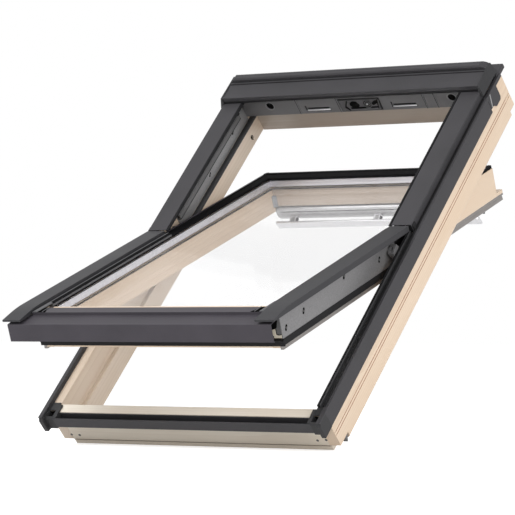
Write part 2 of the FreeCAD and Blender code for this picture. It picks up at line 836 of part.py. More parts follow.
def lock_case():
    """Lock case in the middle of the head panel, with the tongue the bar pulls on."""
    face = HEAD_PANEL - LOCK_DEPTH
    case = along_x(
        [
            (HEAD_PANEL, WOOD_TOP - 40.0),
            (face, WOOD_TOP - 38.0),
            (face, WOOD_TOP - 2.0),
            (HEAD_PANEL, WOOD_TOP),
        ],
        -LOCK_HALF,
        LOCK_HALF,
    )
    window_half = LOCK_HALF - 24.0
    window = block(-window_half, window_half, face - 1.0, HEAD_PANEL - 1.0, WOOD_TOP - 32.0, WOOD_TOP - 8.0)
    disc = Part.makeCylinder(9.0, LOCK_DEPTH, V(-10.0, face, WOOD_TOP - 19.0), V(0, 1, 0))
    tongue = block(-10.0, 26.0, face, HEAD_PANEL, WOOD_TOP - 23.0, WOOD_TOP - 16.0)
    return fused(case.cut(window), disc, tongue)


def frame_plate():
    """Galvanised plate on the right stile's inner face, from the hinge up to the head."""
    back = LIP_TOP + 2 * GASKET_LEDGE
    end = HEAD_PANEL - 2.0
    step = WOOD_TOP - 22.0
    plate = along_x(
        [
            (FRAME_PLATE_FOOT, WOOD_TOP - 2.0),
            (end - 12.0, WOOD_TOP - 2.0),
            (end - 12.0, step),
            (end, step),
            (end, back),
            (FRAME_PLATE_FOOT, back),
        ],
        STILE_IN - FRAME_PLATE,
        STILE_IN,
        {0: 4.0},
    )
    middle = (FRAME_PLATE_FOOT + HOOD_FRONT) / 2.0
    spread = (HOOD_FRONT - FRAME_PLATE_FOOT) / 2.0 - 44.0
    for v, w in ((middle - spread, -26.0), (middle - 6.0, -38.0), (middle + spread, -32.0)):
        slot = slot_x(STILE_IN - 3.0, STILE_IN + 1.0, v, WOOD_TOP + w, 14.0, 6.0, 25.0)
        plate = plate.cut(slot)
    return plate


def frame_gasket():
    """Rubber gasket in the step of the right stile's lip, above the hinge."""
    return along_v(
        [
            (STILE_IN, LIP_TOP),
            (STILE_IN, LIP_TOP + GASKET_LEDGE),
            (LIP_IN + 1.5, LIP_TOP + 2 * GASKET_LEDGE),
            (LIP_IN - 2.4, LIP_TOP + 1.5),
            (LIP_IN - 2.4, LIP_TOP - 4.0),
            (LIP_IN, LIP_TOP - 6.0),
            (LIP_IN, LIP_TOP),
        ],
        FRAME_PLATE_FOOT + 4.0,
        HEAD_IN - 1.0,
        {2: 2.0},
    )


def hinge_track():
    """Right hinge housing: base plate with two curved ribs that hold the sliding arc."""
    inner = RING_IN - TRACK_GAP
    outer = RING_OUT + TRACK_GAP
    base = ring_sector(HINGE_BASE_X, STILE_IN, inner - TRACK_RIB, outer + TRACK_RIB, TRACK_FROM, TRACK_TO)
    rib_in = ring_sector(RING_X0 + 2.0, HINGE_BASE_X, inner - TRACK_RIB, inner, TRACK_FROM, TRACK_TO)
    rib_out = ring_sector(RING_X0 + 2.0, HINGE_BASE_X, outer, outer + TRACK_RIB, TRACK_FROM, TRACK_TO)
    body = fused(base, rib_in, rib_out)
    for angle in TRACK_SCREWS:
        v, w = ring_point(RING_MIDDLE, angle)
        body = body.cut(rod_x(HINGE_BASE_X - 1.0, STILE_IN + 1.0, v, w, SCREW_RADIUS))
    return body


# Pieces of the sash
def sash_stile():
    """Right sash stile with the glass rebate, bevelled inner face and room-side slot."""
    return along_v(
        [
            (GLASS_HALF, REBATE),
            (GLASS_HALF, SASH_TOP),
            (SASH_HALF, SASH_TOP),
            (SASH_HALF, RAIL_SLOT),
            (SASH_HALF - RAIL_WIDTH, RAIL_SLOT),
            (SASH_HALF - RAIL_WIDTH, SASH_BACK),
            (OPEN_HALF, SASH_BACK),
            (OPEN_HALF, REBATE - BEVEL_DEPTH),
            (OPEN_HALF + BEVEL, REBATE),
        ],
        SASH_FOOT,
        SASH_END,
        {6: SASH_ROUND},
    )


def sash_bottom_rail():
    """Bottom rail of the sash between the stiles."""
    return along_x(
        [
            (GLASS_FOOT, REBATE),
            (GLASS_FOOT, SASH_TOP),
            (SASH_FOOT, SASH_TOP),
            (SASH_FOOT, SASH_BACK),
            (OPEN_FOOT, SASH_BACK),
            (OPEN_FOOT, REBATE - BEVEL_DEPTH),
            (OPEN_FOOT - BEVEL, REBATE),
        ],
        -OPEN_HALF,
        OPEN_HALF,
        {4: SASH_ROUND, 3: SASH_ROUND},
    )


def sash_top_rail():
    """Top rail of the sash with the lip that carries the ventilation flap."""
    return along_x(
        [
            (GLASS_END, REBATE),
            (GLASS_END, SASH_TOP),
            (SASH_END, SASH_TOP),
            (SASH_END, LIP_LEVEL),
            (SASH_LIP_END, LIP_LEVEL - 2.0),
            (SASH_LIP_END, LIP_BACK),
            (OPEN_END, LIP_BACK),
            (OPEN_END, REBATE - BEVEL_DEPTH),
            (OPEN_END + BEVEL, REBATE),
        ],
        -OPEN_HALF,
        OPEN_HALF,
        {6: SASH_ROUND},
    )


def stile_lip():
    """Short lip block that carries the top rail's lip across the right stile."""
    return along_v(
        [
            (OPEN_HALF, LIP_LEVEL - 1.0),
            (SASH_HALF, LIP_LEVEL - 1.0),
            (SASH_HALF, RAIL_SLOT),
            (OPEN_HALF, RAIL_SLOT),
        ],
        SASH_END,
        SASH_LIP_END,
    )


def side_rail():
    """Aluminium rail along the room side of the right stile, with the flap's pin seat."""
    inner = SASH_HALF - RAIL_WIDTH
    profile = along_v(
        [
            (inner, RAIL_SLOT),
            (SASH_HALF, RAIL_SLOT),
            (SASH_HALF, RAIL_SLOT - 5.0),
            (SASH_HALF - 4.0, RAIL_SLOT - 7.0),
            (SASH_HALF - 2.0, RAIL_BACK),
            (inner, RAIL_BACK),
        ],
        SASH_FOOT,
        SASH_LIP_END,
        {4: 2.0},
    )
    seat = rod_x(inner - 1.0, inner + FLAP_PIN_SEAT, FLAP_PIN_V, FLAP_PIN_W, FLAP_PIN + SEAT_GAP)
    return profile.cut(seat)


def ring_frame(half, foot, end, width, top, thick):
    outer = block(-half, half, foot, end, top - thick, top)
    inner = block(-half + width, half - width, foot + width, end - width, top - thick - 1, top + 1)
    return outer.cut(inner)


def pane(top):
    half = GLASS_HALF - PANE_EDGE
    return block(-half, half, GLASS_FOOT + PANE_EDGE, GLASS_END - PANE_EDGE, top - PANE, top)


def spacer_bar():
    """Aluminium spacer between the panes, set in from the glass edge."""
    inset = SPACER_SET - SPACER_WIDTH
    return ring_frame(
        GLASS_HALF - inset, GLASS_FOOT + inset, GLASS_END - inset, SPACER_WIDTH, PANE_TOP - PANE, SPACER
    )


def upper_bead():
    """Black glazing bead around the upper half of the glass, with a raised rib."""
    side_profile = [
        (BEAD_IN, PANE_TOP),
        (GLASS_HALF, PANE_TOP),
        (GLASS_HALF, SASH_TOP),
        (BEAD_OUT, SASH_TOP),
        (BEAD_OUT, BEAD_LEVEL - 1.0),
        (BEAD_OUT - 8.0, BEAD_LEVEL),
        (BEAD_OUT - 11.0, BEAD_LEVEL - 3.0),
        (BEAD_OUT - 14.0, BEAD_LEVEL - 1.5),
        (BEAD_IN + 3.0, BEAD_LEVEL - 5.5),
        (BEAD_IN, PANE_TOP + 2.0),
    ]
    right = along_v(side_profile, COVER_FOOT + 1.0, SASH_END)
    left = mirrored(right)
    cross = along_x(
        [
            (BEAD_TOP_START, PANE_TOP),
            (GLASS_END, PANE_TOP),
            (GLASS_END, SASH_TOP),
            (SASH_END, SASH_TOP),
            (SASH_END, BEAD_LEVEL - 1.0),
            (SASH_END - 12.0, BEAD_LEVEL),
            (SASH_END - 15.0, BEAD_LEVEL - 3.0),
            (SASH_END - 18.0, BEAD_LEVEL - 1.5),
            (BEAD_TOP_START + 4.0, BEAD_LEVEL - 5.5),
            (BEAD_TOP_START, PANE_TOP + 2.0),
        ],
        -BEAD_OUT,
        BEAD_OUT,
    )
    # The cross bead steps over the two stiles.
    for x0, x1 in ((GLASS_HALF, BEAD_OUT + 1.0), (-BEAD_OUT - 1.0, -GLASS_HALF)):
        cross = cross.cut(
            block(x0, x1, BEAD_TOP_START - 1.0, GLASS_END, PANE_TOP - 1.0, SASH_TOP)
        )
    return fused(right, left, cross)


def side_bead():
    """Rounded grey bead beside the right lower cover, with its black skirt below."""
    return along_v(
        [
            (BEAD_IN, PANE_TOP),
            (GLASS_HALF, PANE_TOP),
            (GLASS_HALF, SASH_TOP),
            (COVER_IN - 1.2, SASH_TOP),
            (COVER_IN - 1.2, GREY_BEAD_LEVEL - 2.5),
            (BEAD_IN + 8.0, GREY_BEAD_LEVEL),
            (BEAD_IN + 1.5, GREY_BEAD_LEVEL - 4.0),
            (BEAD_IN, PANE_TOP + 2.5),
        ],
        GLASS_FOOT + 2.0,
        COVER_FOOT - 2.0,
        {4: 2.0, 5: 4.0, 6: 2.0},
    )


def sash_cover():
    """Right lower cover: flat top that curves down to a nose, skirts on both sides."""
    def side(drop, foot, end, level):
        return [
            (end, COVER_TOP - drop),
            (NOSE_START, COVER_TOP - drop),
            (foot, NOSE_TOP - drop),
            (foot, level),
            (end, level),
        ]
    outside = side(0.0, NOSE_FOOT, SASH_COVER_END, SASH_COVER_SKIRT)
    body = along_x(outside, COVER_IN, SASH_COVER_OUT, {1: NOSE_BEND})
    hollow = along_x(
        side(SHEET, NOSE_FOOT + SHEET, SASH_COVER_END + 1.0, SASH_COVER_SKIRT - 1.0),
        COVER_IN + SHEET,
        SASH_COVER_OUT - SHEET,
        {1: NOSE_BEND - SHEET},
    )
    body = body.cut(hollow)
    # Inner skirt reaches down to the stile and carries the cover.
    seat = block(
        COVER_IN, COVER_IN + SHEET, SASH_FOOT + 22.0, SASH_COVER_END, SASH_TOP, SASH_COVER_SKIRT + 1.0
    )
    return fused(body, seat)


def bottom_cover():
    """Sash bottom casing: ledge, step, sloping top, tall front and drip edge."""
    skin = sheet_x(
        [
            (LEDGE_START, SASH_TOP),
            (LEDGE_START, LEDGE_LEVEL),
            (LEDGE_STEP_V, LEDGE_LEVEL),
            (LEDGE_STEP_V, STEP_LEVEL),
            (FRONT_V, FRONT_FOLD),
            (FRONT_V + 0.01, FRONT_DROP),
            (FRONT_V + 3.0, FRONT_DROP - 0.5),
        ],
        -COVER_IN + 1.5,
        COVER_IN - 1.5,
        -SHEET,
        {4: 1.5},
    )
    wings = []
    tie_v = SASH_FOOT - 3.0
    for x0, x1 in ((COVER_IN - 1.5, FRONT_HALF), (-FRONT_HALF, -COVER_IN + 1.5)):
        wing = sheet_x(
            [
                (tie_v, SASH_TOP),
                (LEDGE_STEP_V - 6.0, SASH_TOP),
                (FRONT_V, FRONT_FOLD),
                (FRONT_V + 0.01, FRONT_DROP),
                (FRONT_V + 3.0, FRONT_DROP - 0.5),
            ],
            x0,
            x1,
            -SHEET,
            {2: 1.5},
        )
        wings.append(wing)
    # A tab on each wing reaches the end of the stile beside the side plate.
    for x0, x1 in ((COVER_IN - 1.5, SASH_HALF - 1.0), (1.0 - SASH_HALF, 1.5 - COVER_IN)):
        wings.append(block(x0, x1, tie_v, SASH_FOOT, SASH_TOP - SHEET, SASH_TOP))
    return fused(skin, *wings)


def bottom_filler():
    """Block behind the front casing that ties it to the bottom rail."""
    return along_x(
        [
            (SASH_FOOT, SASH_TOP),
            (SASH_FOOT, SASH_TOP - 20.0),
            (LEDGE_STEP_V - 7.0, SASH_TOP - 7.5),
            (LEDGE_STEP_V - 7.0, SASH_TOP - 1.5),
        ],
        -OPEN_HALF,
        OPEN_HALF,
    )


def sash_seal():
    """Rubber seal round the lower half of the sash, proud of the pine."""
    out = SASH_HALF + SEAL
    cross = along_x(
        [
            (SASH_FOOT, SEAL_LEVEL),
            (SASH_FOOT - SEAL_PROUD, SEAL_LEVEL - SEAL_RISE / 2.0),
            (SASH_FOOT - SEAL_PROUD + 2.0, RAIL_SLOT),
            (SASH_FOOT - SEAL, RAIL_SLOT - 2.0),
            (SASH_FOOT - SEAL, CROSS_SEAL_BACK),
            (SASH_FOOT, CROSS_SEAL_BACK),
        ],
        -out,
        out,
        {1: 1.5},
    )
    sides = []
    for x in (SASH_HALF, -out):
        sides.append(block(x, x + SEAL, SASH_FOOT - 2.0, SEAL_END, SEAL_LEVEL - SEAL_DEPTH, SEAL_LEVEL))
    return fused(cross, *sides)


def sash_plate():
    """Galvanised side plate of the lower half of the sash, with four slots."""
    plate = along_x(
        [
            (SASH_FOOT - 2.0, SASH_TOP),
            (PIVOT_V - 22.0, SASH_TOP),
            (PIVOT_V - 22.0, SEAL_LEVEL),
            (SASH_FOOT - 2.0, SEAL_LEVEL),
        ],
        SASH_HALF,
        SASH_HALF + PLATE_THICK,
        {2: 8.0, 0: 3.0},
    )
    reach = PIVOT_V - SASH_FOOT
    for share, drop in ((0.031, 46.7), (0.178, 36.0), (0.523, 19.6), (0.817, 35.4)):
        v = SASH_FOOT + share * reach
        cut = slot_x(SASH_HALF - 1, SASH_HALF + PLATE_THICK + 1, v, SASH_TOP - drop, 16.0, 8.0, 60.0)
        plate = plate.cut(cut)
    return plate


def hinge_arc():
    """Right sliding arc of the hinge: ring sector, mounting pad and round end boss."""
    arc = ring_sector(RING_X0, RING_X1, RING_IN, RING_OUT, RING_FROM, RING_TO)
    near = RING_IN + 1.0
    far = RING_OUT - 1.0
    level = SASH_HALF + PLATE_THICK
    pad = ring_sector(level, RING_X0, near, far, -74.0, RING_TO)
    pad = pad.fuse(ring_sector(SASH_HALF, level, near, far, -60.0, RING_TO))
    v, w = ring_point(RING_MIDDLE, BOSS_ANGLE)
    boss = rod_x(level, RING_X1 + 2.5, v, w, BOSS_RADIUS)
    body = fused(arc, pad, boss)
    for angle in ARC_SCREWS:
        v, w = ring_point(RING_MIDDLE, angle)
        body = body.cut(rod_x(RING_X1 - 2.5, RING_X1 + 1.0, v, w, ARC_SCREW_RADIUS))
    return body


# Flap and control bar
def flap():
    """Curved aluminium flap, carried on a pin at each end in the side rails."""

    def p(up, drop):
        return V(-FLAP_HALF, OPEN_END + up, LIP_BACK - drop)

    edges = [
        Part.Arc(p(-2.0, 8.0), p(1.5, 24.5), p(14.5, 38.5)).toShape(),
        Part.LineSegment(p(14.5, 38.5), p(18.0, 38.5)).toShape(),
        Part.Arc(p(18.0, 38.5), p(22.0, 25.0), p(32.0, 14.0)).toShape(),
        Part.LineSegment(p(32.0, 14.0), p(46.0, 12.0)).toShape(),
        Part.LineSegment(p(46.0, 12.0), p(46.0, 4.5)).toShape(),
        Part.LineSegment(p(46.0, 4.5), p(1.0, 4.5)).toShape(),
        Part.LineSegment(p(1.0, 4.5), p(-2.0, 8.0)).toShape(),
    ]
    body = Part.Face(Part.Wire(edges)).extrude(V(2 * FLAP_HALF, 0, 0))
    reach = SASH_HALF - RAIL_WIDTH + FLAP_PIN_SEAT - SEAT_GAP
    pin = rod_x(-reach, reach, FLAP_PIN_V, FLAP_PIN_W, FLAP_PIN)
    return fused(body, pin)


def control_bar():
    """Handle bar on three brackets below the flap."""

    def p(up, drop):
        return V(-FLAP_HALF, OPEN_END + up, LIP_BACK - drop)

    edges = [
        Part.Arc(p(-17.0, 43.0), p(-15.5, 38.0), p(-10.5, 38.5)).toShape(),
        Part.LineSegment(p(-10.5, 38.5), p(-0.5, 53.0)).toShape(),
        Part.Arc(p(-0.5, 53.0), p(0.0, 58.0), p(-5.0, 58.5)).toShape(),
        Part.LineSegment(p(-5.0, 58.5), p(-17.0, 43.0)).toShape(),
    ]
    whole = Part.Face(Part.Wire(edges)).extrude(V(2 * FLAP_HALF, 0, 0))
    for x in (-BRACKET_PITCH, 0.0, BRACKET_PITCH):
        arm = along_x(
            [
                (OPEN_END - 5.0, LIP_BACK - 49.0),
                (OPEN_END - 12.5, LIP_BACK - 40.0),
                (OPEN_END + 5.0, LIP_BACK - 27.0),
                (OPEN_END + 13.0, LIP_BACK - 36.0),
            ],
            x - BRACKET_HALF,
            x + BRACKET_HALF,
        )
        whole = whole.fuse(arm)
    return whole.cut(flap()).removeSplitter()


# Assembly
ORIGIN_V = FRAME_FOOT
ORIGIN_W = (NOTCH_TOP + GUTTER_DROP) / 2.0


def to_world(shape):
    shape = shape.copy()
    shape.translate(V(0, -ORIGIN_V, -ORIGIN_W))
    shape.rotate(V(0, 0, 0), V(1, 0, 0), ROOF_PITCH)
    return shape


def swung(shape):
    shape = shape.copy()
    shape.rotate(V(0, PIVOT_V, PIVOT_W), V(1, 0, 0), -SASH_OPEN)
    return shape


pieces = {}
sash_names = []
control_names = []


def add(name, shape):
    pieces[name] = to_world(shape)


def add_sash(name, shape):
    sash_names.append(name)
    add(name, swung(shape))


def add_control(name, shape):
    control_names.append(name)
    add(name, swung(shape))


def add_pair(name, shape, put=add):
    put(name.format("right"), shape)
    put(name.format("left"), mirrored(shape))


# Frame
add_pair("frame_{}_stile", frame_stile())
add("frame_bottom_rail", frame_bottom_rail())
add("frame_head", frame_head())
add_pair("{}_edge_strip", fused(outer_strip(), strip_end_plate()))
add("bottom_gutter", gutter())
add_pair("{}_corner_block", corner_piece())
add_pair("{}_upper_cover", upper_cover())
add_pair("{}_cover_seal", cover_seal())
add("top_hood", hood())
add_pair("hood_{}_end", hood_end())
add("top_plate", top_plate())
add("head_panel", head_panel())
add("lock_case", lock_case())
add_pair("frame_{}_plate", frame_plate())
add_pair("frame_{}_gasket", frame_gasket())
add_pair("{}_hinge_track", hinge_track())

# Sash
add_pair("sash_{}_stile", fused(sash_stile(), stile_lip()), add_sash)
add_sash("sash_bottom_rail", fused(sash_bottom_rail(), bottom_filler()))
add_sash("sash_top_rail", sash_top_rail())
add_sash("outer_pane", pane(PANE_TOP))
add_sash("inner_pane", pane(PANE_TOP - PANE - SPACER))
add_sash("spacer_bar", spacer_bar())
add_sash("upper_glazing_bead", upper_bead())
add_pair("{}_glazing_bead", side_bead(), add_sash)
add_pair("{}_lower_cover", sash_cover(), add_sash)
add_sash("sash_bottom_cover", bottom_cover())
add_sash("sash_seal", sash_seal())
add_pair("sash_{}_plate", sash_plate(), add_sash)
add_pair("{}_hinge_arc", hinge_arc(), add_sash)
add_pair("sash_{}_rail", side_rail(), add_sash)

# Flap and control bar
add_control("ventilation_flap", flap())
add_control("control_bar", control_bar())

for name, shape in pieces.items():
    if len(shape.Solids) != 1 or not shape.isValid():
        print("not one sound solid:", name, len(shape.Solids), shape.isValid())
    shape.exportStep("parts/" + name + ".step")

turn = FreeCAD.Rotation(V(1, 0, 0), ROOF_PITCH)
pivot = turn.multVec(V(0, PIVOT_V - ORIGIN_V, PIVOT_W - ORIGIN_W))
pin = V(0, FLAP_PIN_V - PIVOT_V, FLAP_PIN_W - PIVOT_W)
pin = FreeCAD.Rotation(V(1, 0, 0), ROOF_PITCH - SASH_OPEN).multVec(pin) + pivot
volume = sum(shape.Volume for shape in pieces.values()) / 1e9
print(len(pieces), "pieces,", round(volume, 5), "cubic metres")
print("hinge axis at", [round(c, 3) for c in pivot])
print("flap axis at", [round(c, 3) for c in pin])
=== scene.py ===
"""Looks of the centre pivot window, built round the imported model.

Every added piece is drawn in the window's own directions, in millimetres: x across,
v up the roof slope and w out of the roof. It is then turned to the roof pitch, or
swung with the sash, so that it stands on the solid that carries it.
"""

import logging
import math
from dataclasses import dataclass
from enum import Enum
from typing import Callable, Optional, Sequence, Union

import bmesh
import bpy
from mathutils import Matrix, Vector


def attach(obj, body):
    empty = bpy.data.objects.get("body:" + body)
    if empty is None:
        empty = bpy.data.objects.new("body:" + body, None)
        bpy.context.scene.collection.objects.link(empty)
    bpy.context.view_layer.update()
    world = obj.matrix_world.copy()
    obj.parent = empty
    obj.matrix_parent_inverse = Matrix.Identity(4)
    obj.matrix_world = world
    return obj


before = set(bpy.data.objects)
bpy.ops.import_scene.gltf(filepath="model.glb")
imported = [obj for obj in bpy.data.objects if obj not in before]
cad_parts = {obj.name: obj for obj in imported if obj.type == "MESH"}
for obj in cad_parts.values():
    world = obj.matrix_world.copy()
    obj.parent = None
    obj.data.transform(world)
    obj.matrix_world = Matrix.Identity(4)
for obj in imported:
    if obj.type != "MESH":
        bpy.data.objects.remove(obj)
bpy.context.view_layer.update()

log = logging.getLogger("window")

MM = 0.001
ROOF_PITCH = math.radians(45.0)
SASH_SWING = math.radians(-25.0)
ORIGIN_V = 33.0
ORIGIN_W = -74.0
PIVOT_V = 627.0
PIVOT_W = 23.0
QUARTER = math.pi / 2.0
SMOOTH_BELOW = math.radians(40.0)
SHARP_ABOVE = math.radians(30.0)
ROUND_SIDES = 28
FACES_ALONG = 0.99

# Bump and rounded edge that every skinned finish has
BUMP = 0.12
BUMP_DEPTH = 0.0002
EDGE_RADIUS = 0.0009

UNIT = (1.0, 1.0, 1.0)
ZERO = (0.0, 0.0, 0.0)
WHITE = (1.0, 1.0, 1.0, 1.0)

Socket = bpy.types.NodeSocket
Node = bpy.types.Node
Thing = bpy.types.Object
Colour = tuple[float, float, float]
Point = tuple[float, float, float]
Pair = tuple[float, float]
Shape = Sequence[Pair]
Value = Union[float, Sequence[float], Socket]
Feeds = dict[Union[str, int], Value]


class Carrier(Enum):
    """Which moving body a piece is drawn on; the value is the body's name."""

    FRAME = "frame"
    SASH = "sash"
    CONTROL = "control"

    def matrix(self) -> Matrix:
        """Turn window directions in metres into the shared frame.

        Returns:
            The matrix for a mesh that is drawn in window directions.
        """
        pitch = Matrix.Rotation(ROOF_PITCH, 4, "X")
        shift = Matrix.Translation((0.0, -ORIGIN_V * MM, -ORIGIN_W * MM))
        if self is Carrier.FRAME:
            return pitch @ shift
        pivot = Vector((0.0, PIVOT_V * MM, PIVOT_W * MM))
        swing = Matrix.Rotation(SASH_SWING, 4, "X")
        return pitch @ shift @ Matrix.Translation(pivot) @ swing @ Matrix.Translation(-pivot)


class Along(Enum):
    """Direction in which wood grain or a drawn section runs."""

    ACROSS = "across"
    ROOF_SLOPE = "roof slope"
    SASH_SLOPE = "sash slope"

    def turn(self) -> Point:
        """Mapping rotation that lays this direction along the pattern's X axis.

        Returns:
            The rotation of a Mapping node.
        """
        if self is Along.ACROSS:
            return ZERO
        tilt = ROOF_PITCH if self is Along.ROOF_SLOPE else ROOF_PITCH + SASH_SWING
        return (-tilt, 0.0, -QUARTER)


# Node trees


class Tree:
    """Adds nodes to one node tree and feeds their inputs in a single call each."""

    def __init__(self, tree: bpy.types.NodeTree) -> None:
        """Keep the tree that the nodes go into."""
        self.tree = tree
        self.count = 0

    @classmethod
    def of(cls, owner: Union[bpy.types.Material, bpy.types.World]) -> "Tree":
        """Clear a material's or a world's nodes and return its tree.

        Args:
            owner: The material or the world.

        Returns:
            Its empty tree.
        """
        owner.use_nodes = True
        owner.node_tree.nodes.clear()
        return cls(owner.node_tree)

    def feed(self, node: Node, feeds: Feeds) -> None:
        """Give inputs of a node a plain value or another node's socket.

        Args:
            node: The node to feed.
            feeds: Input name or number to a plain value or another node's socket.
        """
        for key, value in feeds.items():
            socket = node.inputs[key]
            if isinstance(value, Socket):
                self.tree.links.new(value, socket)
            elif socket.type == "RGBA" and len(value) == 3:
                socket.default_value = (*value, 1.0)
            else:
                socket.default_value = value

    def add(self, kind: str, feeds: Optional[Feeds] = None, **settings: object) -> Node:
        """Add a node.

        Args:
            kind: Node type without its ShaderNode or NodeGroup prefix.
            feeds: Input name or number to a plain value or another node's socket.
            settings: Properties of the node.

        Returns:
            The new node.
        """
        full = kind if kind.startswith("NodeGroup") else "ShaderNode" + kind
        node = self.tree.nodes.new(full)
        node.location = (180.0 * (self.count % 8), -260.0 * (self.count // 8))
        self.count += 1
        for key, value in settings.items():
            setattr(node, key, value)
        self.feed(node, feeds or {})
        return node

    def math(self, operation: str, first: Value, second: Value, clamp: bool = False) -> Socket:
        """Add a Math node and return its result."""
        node = self.add("Math", {0: first, 1: second}, operation=operation, use_clamp=clamp)
        return node.outputs[0]

    def vector_math(self, operation: str, first: Value, second: Value) -> Node:
        """Add a Vector Math node."""
        return self.add("VectorMath", {0: first, 1: second}, operation=operation)

    def mix(self, factor: Value, first: Value, second: Value) -> Socket:
        """Add a colour Mix node and return its result."""
        feeds = {"Factor": factor, 6: first, 7: second}
        return self.add("Mix", feeds, data_type="RGBA").outputs[2]

    def span(
        self, value: Value, low: float, high: float, out_low: float = 0.0, out_high: float = 1.0
    ) -> Socket:
        """Map a value from one span to another, held at its ends.

        Args:
            value: The value.
            low: Where the value's span starts.
            high: Where it ends.
            out_low: What the start becomes.
            out_high: What the end becomes.

        Returns:
            The mapped value.
        """
        feeds = {"Value": value, "From Min": low, "From Max": high}
        feeds.update({"To Min": out_low, "To Max": out_high})
        return self.add("MapRange", feeds).outputs["Result"]

    def noise(self, vector: Value, scale: Value, detail: float = 2.0, rough: float = 0.5) -> Node:
        """Add a noise."""
        feeds = {"Vector": vector, "Scale": scale, "Detail": detail, "Roughness": rough}
        return self.add("TexNoise", feeds)

    def grey(self, vector: Value, scale: Value, detail: float = 2.0, rough: float = 0.5) -> Socket:
        """Add a noise and return its value."""
        return self.noise(vector, scale, detail, rough).outputs["Fac"]

    def placed(self, vector: Value, scale: Point, turn: Point = ZERO, at: Point = ZERO) -> Socket:
        """Stretch, turn and shift a coordinate."""
        feeds = {"Vector": vector, "Scale": scale, "Rotation": turn, "Location": at}
        return self.add("Mapping", feeds).outputs["Vector"]

    def fibres(self, vector: Value, stretch: float, scale: float, *rest: float) -> Socket:
        """Add a noise that is drawn out along the vector's X axis, and return its value."""
        return self.grey(self.placed(vector, (stretch, 1.0, 1.0)), scale, *rest)


@dataclass(frozen=True)
class Effect:
    """A node group, made once and placed in each material that uses it.

    Args:
        name: The group's name.
        inputs: Name and socket kind of each input.
        outputs: Name and socket kind of each output.
        draw: Adds the nodes and returns the socket behind each output.
    """

    name: str
    inputs: dict[str, str]
    outputs: dict[str, str]
    draw: Callable[[Tree, Node], dict[str, Socket]]

    def group(self) -> bpy.types.NodeTree:
        """Return the group, made the first time it is asked for.

        Returns:
            The group's node tree.
        """
        known = bpy.data.node_groups.get(self.name)
        if known is not None:
            return known
        tree = bpy.data.node_groups.new(self.name, "ShaderNodeTree")
        for way, ends in (("INPUT", self.inputs), ("OUTPUT", self.outputs)):
            for title, kind in ends.items():
                socket = {"name": title, "in_out": way, "socket_type": "NodeSocket" + kind}
                tree.interface.new_socket(**socket)
        sheet = Tree(tree)
        results = self.draw(sheet, sheet.add("NodeGroupInput"))
        sheet.add("NodeGroupOutput", results)
        return tree


def draw_sawn_grain(t: Tree, entry: Node) -> dict[str, Socket]:
    """Add growth rings, fibres and a slow change of tone, running along the X axis.

    Args:
        t: The group's tree.
        entry: The group's input node.

    Returns:
        The socket behind each output.
    """
    vector = entry.outputs["Vector"]
    wave = {
        "Vector": t.placed(vector, (0.05, 1.0, 1.0)),
        "Scale": 62.0,
        "Distortion": 5.0,
        "Detail": 2.0,
        "Detail Scale": 0.55,
        "Detail Roughness": 0.55,
    }
    shape = {"wave_type": "RINGS", "rings_direction": "X", "wave_profile": "SAW"}
    late = t.math("POWER", t.add("TexWave", wave, **shape).outputs["Fac"], 3.0)
    fibre = t.fibres(vector, 0.025, 950.0, 3.0, 0.6)
    tone = t.fibres(vector, 0.16, 17.0)
    pale = t.mix(t.span(tone, 0.32, 0.7), entry.outputs["Light"], entry.outputs["Warm"])
    share = t.math("MULTIPLY", late, entry.outputs["Figure"])
    share = t.math("ADD", share, t.span(fibre, 0.45, 0.8, 0.0, 0.16), clamp=True)
    rough = t.math("ADD", t.span(fibre, 0.3, 0.7, 0.36, 0.5), t.span(late, 0.0, 1.0, 0.0, -0.05))
    height = t.math("ADD", t.math("MULTIPLY", fibre, 0.6), t.math("MULTIPLY", late, 0.5))
    colour = t.mix(share, pale, entry.outputs["Late Wood"])
    return {"Color": colour, "Roughness": rough, "Height": height}


def draw_fine_texture(t: Tree, entry: Node) -> dict[str, Socket]:
    """Add the orange peel of a baked coat or a moulded skin, with a slow cloudiness.

    Args:
        t: The group's tree.
        entry: The group's input node.

    Returns:
        The socket behind each output.
    """
    peel = t.grey(entry.outputs["Vector"], entry.outputs["Grain"])
    cloud = t.grey(entry.outputs["Vector"], 9.0, 3.0, 0.55)
    clouds = t.span(cloud, 0.3, 0.7, 0.0, 0.7)
    share = t.math("ADD", clouds, t.span(peel, 0.35, 0.65, 0.0, 0.3), clamp=True)
    colour = t.mix(share, entry.outputs["Dark"], entry.outputs["Light"])
    rough = t.math("ADD", entry.outputs["Gloss"], t.span(cloud, 0.3, 0.7, -0.04, 0.05))
    return {"Color": colour, "Roughness": rough, "Height": peel}


def draw_worn_and_lit_edge(t: Tree, entry: Node) -> dict[str, Socket]:
    """Add a rounded normal at sharp edges, and a mask of the edges that are rubbed and carry a
    painted highlight.

    Args:
        t: The group's tree.
        entry: The group's input node.

    Returns:
        The socket behind each output.
    """
    rounded = t.add("Bevel", {"Radius": entry.outputs["Radius"]}, samples=4).outputs["Normal"]
    flat = t.add("NewGeometry").outputs["Normal"]
    facing = t.vector_math("DOT_PRODUCT", rounded, flat).outputs["Value"]
    patches = t.grey(entry.outputs["Vector"], 60.0, 3.0, 0.6)
    mask = t.math("MULTIPLY", t.span(facing, 0.995, 0.86), t.span(patches, 0.42, 0.62))
    return {"Mask": mask, "Normal": rounded}


